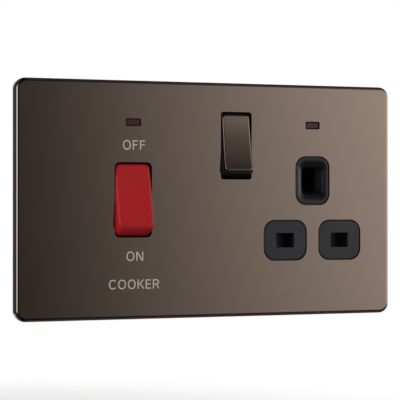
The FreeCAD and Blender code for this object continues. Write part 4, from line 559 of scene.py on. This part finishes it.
# Brightness by direction, as pairs of a place from 0 to 1 and a brightness. ROUND goes round the
# horizon from -X through -Y, +X and +Y back to -X, UPWARD from straight down to straight up.
ROUND = [
    (0.0, 0.08), (0.035, 0.1), (0.055, 1.9), (0.145, 1.8), (0.17, 0.2), (0.21, 0.02),
    (0.275, 0.03), (0.29, 0.095), (0.296, 0.18), (0.306, 0.375), (0.315, 0.6), (0.325, 0.85),
    (0.335, 1.15), (0.36, 1.35), (0.5, 1.3), (0.6, 1.0), (0.74, 1.0), (0.79, 0.08),
    (0.99, 0.08),
]
UPWARD = [
    (0.0, 0.1), (0.3, 0.04), (0.38, 0.1), (0.43, 0.5), (0.46, 0.85), (0.54, 1.13), (0.6, 0.88),
    (0.64, 0.66), (0.665, 0.42), (0.69, 0.3), (0.74, 0.1), (1.0, 0.06),
]
# What a dull surface gets from the world, and the white of the floor that a camera sees.
DULL_LIGHT, FLOOR_GLOW = 0.45, 0.6


def curve(tree, value, pairs):
    """Brightness along a curve of straight lines. The ramp holds half of it, as it ends at 1."""
    ramp = node(tree, "ShaderNodeValToRGB", {"Fac": value})
    stops = ramp.color_ramp.elements
    stops.remove(stops[0])
    stops[0].position = pairs[0][0]
    for place, _ in pairs[1:]:
        stops.new(place)
    for stop, (_, bright) in zip(stops, pairs):
        stop.color = (bright / 2, bright / 2, bright / 2, 1.0)
    half = ramp.outputs["Color"]
    return node(tree, "ShaderNodeMath", {0: half, 1: 2.0}, operation="MULTIPLY").outputs[0]


def room():
    """What the object mirrors: a curve of brightness round the horizon, dark on the camera's side
    and behind on the left, times a curve of height, brightest at about the level of the object.
    Cameras see plain white, and dull surfaces get an even light."""
    world = bpy.data.worlds.new("studio")
    bpy.context.scene.world = world
    world.use_nodes = True
    tree = world.node_tree
    tree.nodes.clear()
    way = node(tree, "ShaderNodeTexCoord").outputs["Generated"]
    axis = node(tree, "ShaderNodeSeparateXYZ", {"Vector": way}).outputs
    turn = axis["Y"]
    for operation, other in (("ARCTAN2", axis["X"]), ("ADD", np.pi), ("DIVIDE", 2 * np.pi)):
        turn = node(tree, "ShaderNodeMath", {0: turn, 1: other}, operation=operation).outputs[0]
    height = node(
        tree, "ShaderNodeMapRange", {"Value": axis["Z"], "From Min": -1.0, "From Max": 1.0}
    ).outputs["Result"]
    level, rise = curve(tree, turn, ROUND), curve(tree, height, UPWARD)
    glow = node(tree, "ShaderNodeMath", {0: level, 1: rise}, operation="MULTIPLY").outputs[0]
    seen, mirrored, soft = (
        node(tree, "ShaderNodeBackground", {"Color": WHITE, "Strength": strength}).outputs[0]
        for strength in (1.0, glow, DULL_LIGHT)
    )
    path = node(tree, "ShaderNodeLightPath").outputs
    clear = node(
        tree,
        "ShaderNodeMath",
        {0: path["Is Glossy Ray"], 1: path["Is Transmission Ray"]},
        operation="MAXIMUM",
    ).outputs[0]
    lit = node(tree, "ShaderNodeMixShader", {0: clear, 1: soft, 2: mirrored}).outputs[0]
    final = node(tree, "ShaderNodeMixShader", {0: path["Is Camera Ray"], 1: lit, 2: seen})
    node(tree, "ShaderNodeOutputWorld", {"Surface": final.outputs[0]})


def lamp(name, place, width, height, power):
    """A soft box that points at the middle of the plate. Mirrors show the world's light alone."""
    light = bpy.data.lights.new(name, "AREA")
    light.shape = "RECTANGLE"
    light.size = width
    light.size_y = height
    light.energy = power
    holder = put(name, light)
    holder.location = place
    holder.rotation_euler = (-Vector(place)).to_track_quat("-Z", "Y").to_euler()
    holder.visible_glossy = False


def floor():
    """A pale round floor below and behind the object, which fades out towards its edge."""
    radius, sides = 0.5, 96
    middle = np.array([0.0, 0.5, -0.17])
    turns = np.linspace(0, 2 * np.pi, sides, endpoint=False)
    rim = middle + radius * np.column_stack([np.cos(turns), np.sin(turns), 0 * turns])
    points = np.vstack([middle, rim])
    faces = [[0, k + 1, (k + 1) % sides + 1] for k in range(sides)]
    mesh = bpy.data.meshes.new("floor")
    mesh.from_pydata(points.tolist(), [], faces)
    material = bpy.data.materials.new("pale_paper")
    material.use_nodes = True
    tree = material.node_tree
    shader = tree.nodes["Principled BSDF"]
    shader.inputs["Base Color"].default_value = linear("f2f2f0")
    shader.inputs["Roughness"].default_value = 0.9
    place = node(tree, "ShaderNodeTexCoord").outputs["Object"]
    reach = node(
        tree, "ShaderNodeVectorMath", {0: place, 1: middle.tolist()}, operation="DISTANCE"
    ).outputs["Value"]
    fade = node(
        tree,
        "ShaderNodeMapRange",
        {"Value": reach, "From Min": radius / 2, "From Max": radius, "To Min": 1.0, "To Max": 0.0},
        interpolation_type="SMOOTHSTEP",
    )
    glow = node(tree, "ShaderNodeEmission", {"Color": WHITE, "Strength": 1.0}).outputs[0]
    path = node(tree, "ShaderNodeLightPath").outputs
    seen = path["Is Camera Ray"]
    for operation, other in (
        ("MAXIMUM", path["Is Glossy Ray"]),
        ("MAXIMUM", path["Is Transmission Ray"]),
        ("MULTIPLY", FLOOR_GLOW),
    ):
        seen = node(tree, "ShaderNodeMath", {0: seen, 1: other}, operation=operation).outputs[0]
    pale = node(tree, "ShaderNodeMixShader", {0: seen, 1: shader.outputs[0], 2: glow}).outputs[0]
    clear = node(tree, "ShaderNodeBsdfTransparent").outputs[0]
    fade = fade.outputs["Result"]
    faded = node(tree, "ShaderNodeMixShader", {0: fade, 1: clear, 2: pale}).outputs[0]
    tree.links.new(faded, tree.nodes["Material Output"].inputs["Surface"])
    mesh.materials.append(material)
    ground = put("floor", mesh)
    ground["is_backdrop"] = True


room()
floor()
lamp("key_box", (0.95, -0.75, 0.55), 0.6, 0.6, 8.0)
lamp("left_fill", (-1.1, -0.35, 0.1), 0.5, 1.0, 9.0)


def camera():
    """The photograph's view: from the left, level, with a long lens."""
    data = bpy.data.cameras.new("camera")
    data.lens = 142.8
    data.sensor_width = 36.0
    holder = put("camera", data)
    place = Vector((-0.208016, -0.545718, -0.000666))
    target = Vector((-0.004086, -0.004, -0.000033))
    holder.location = place
    holder.rotation_euler = (target - place).to_track_quat("-Z", "Y").to_euler()
    bpy.context.scene.camera = holder


camera()
bpy.context.scene.view_settings.view_transform = "Standard"
boxes = {"cad": CAD_BOX, "visual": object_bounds()}
sizes = {key: [list(map(float, corner)) for corner in box] for key, box in boxes.items()}
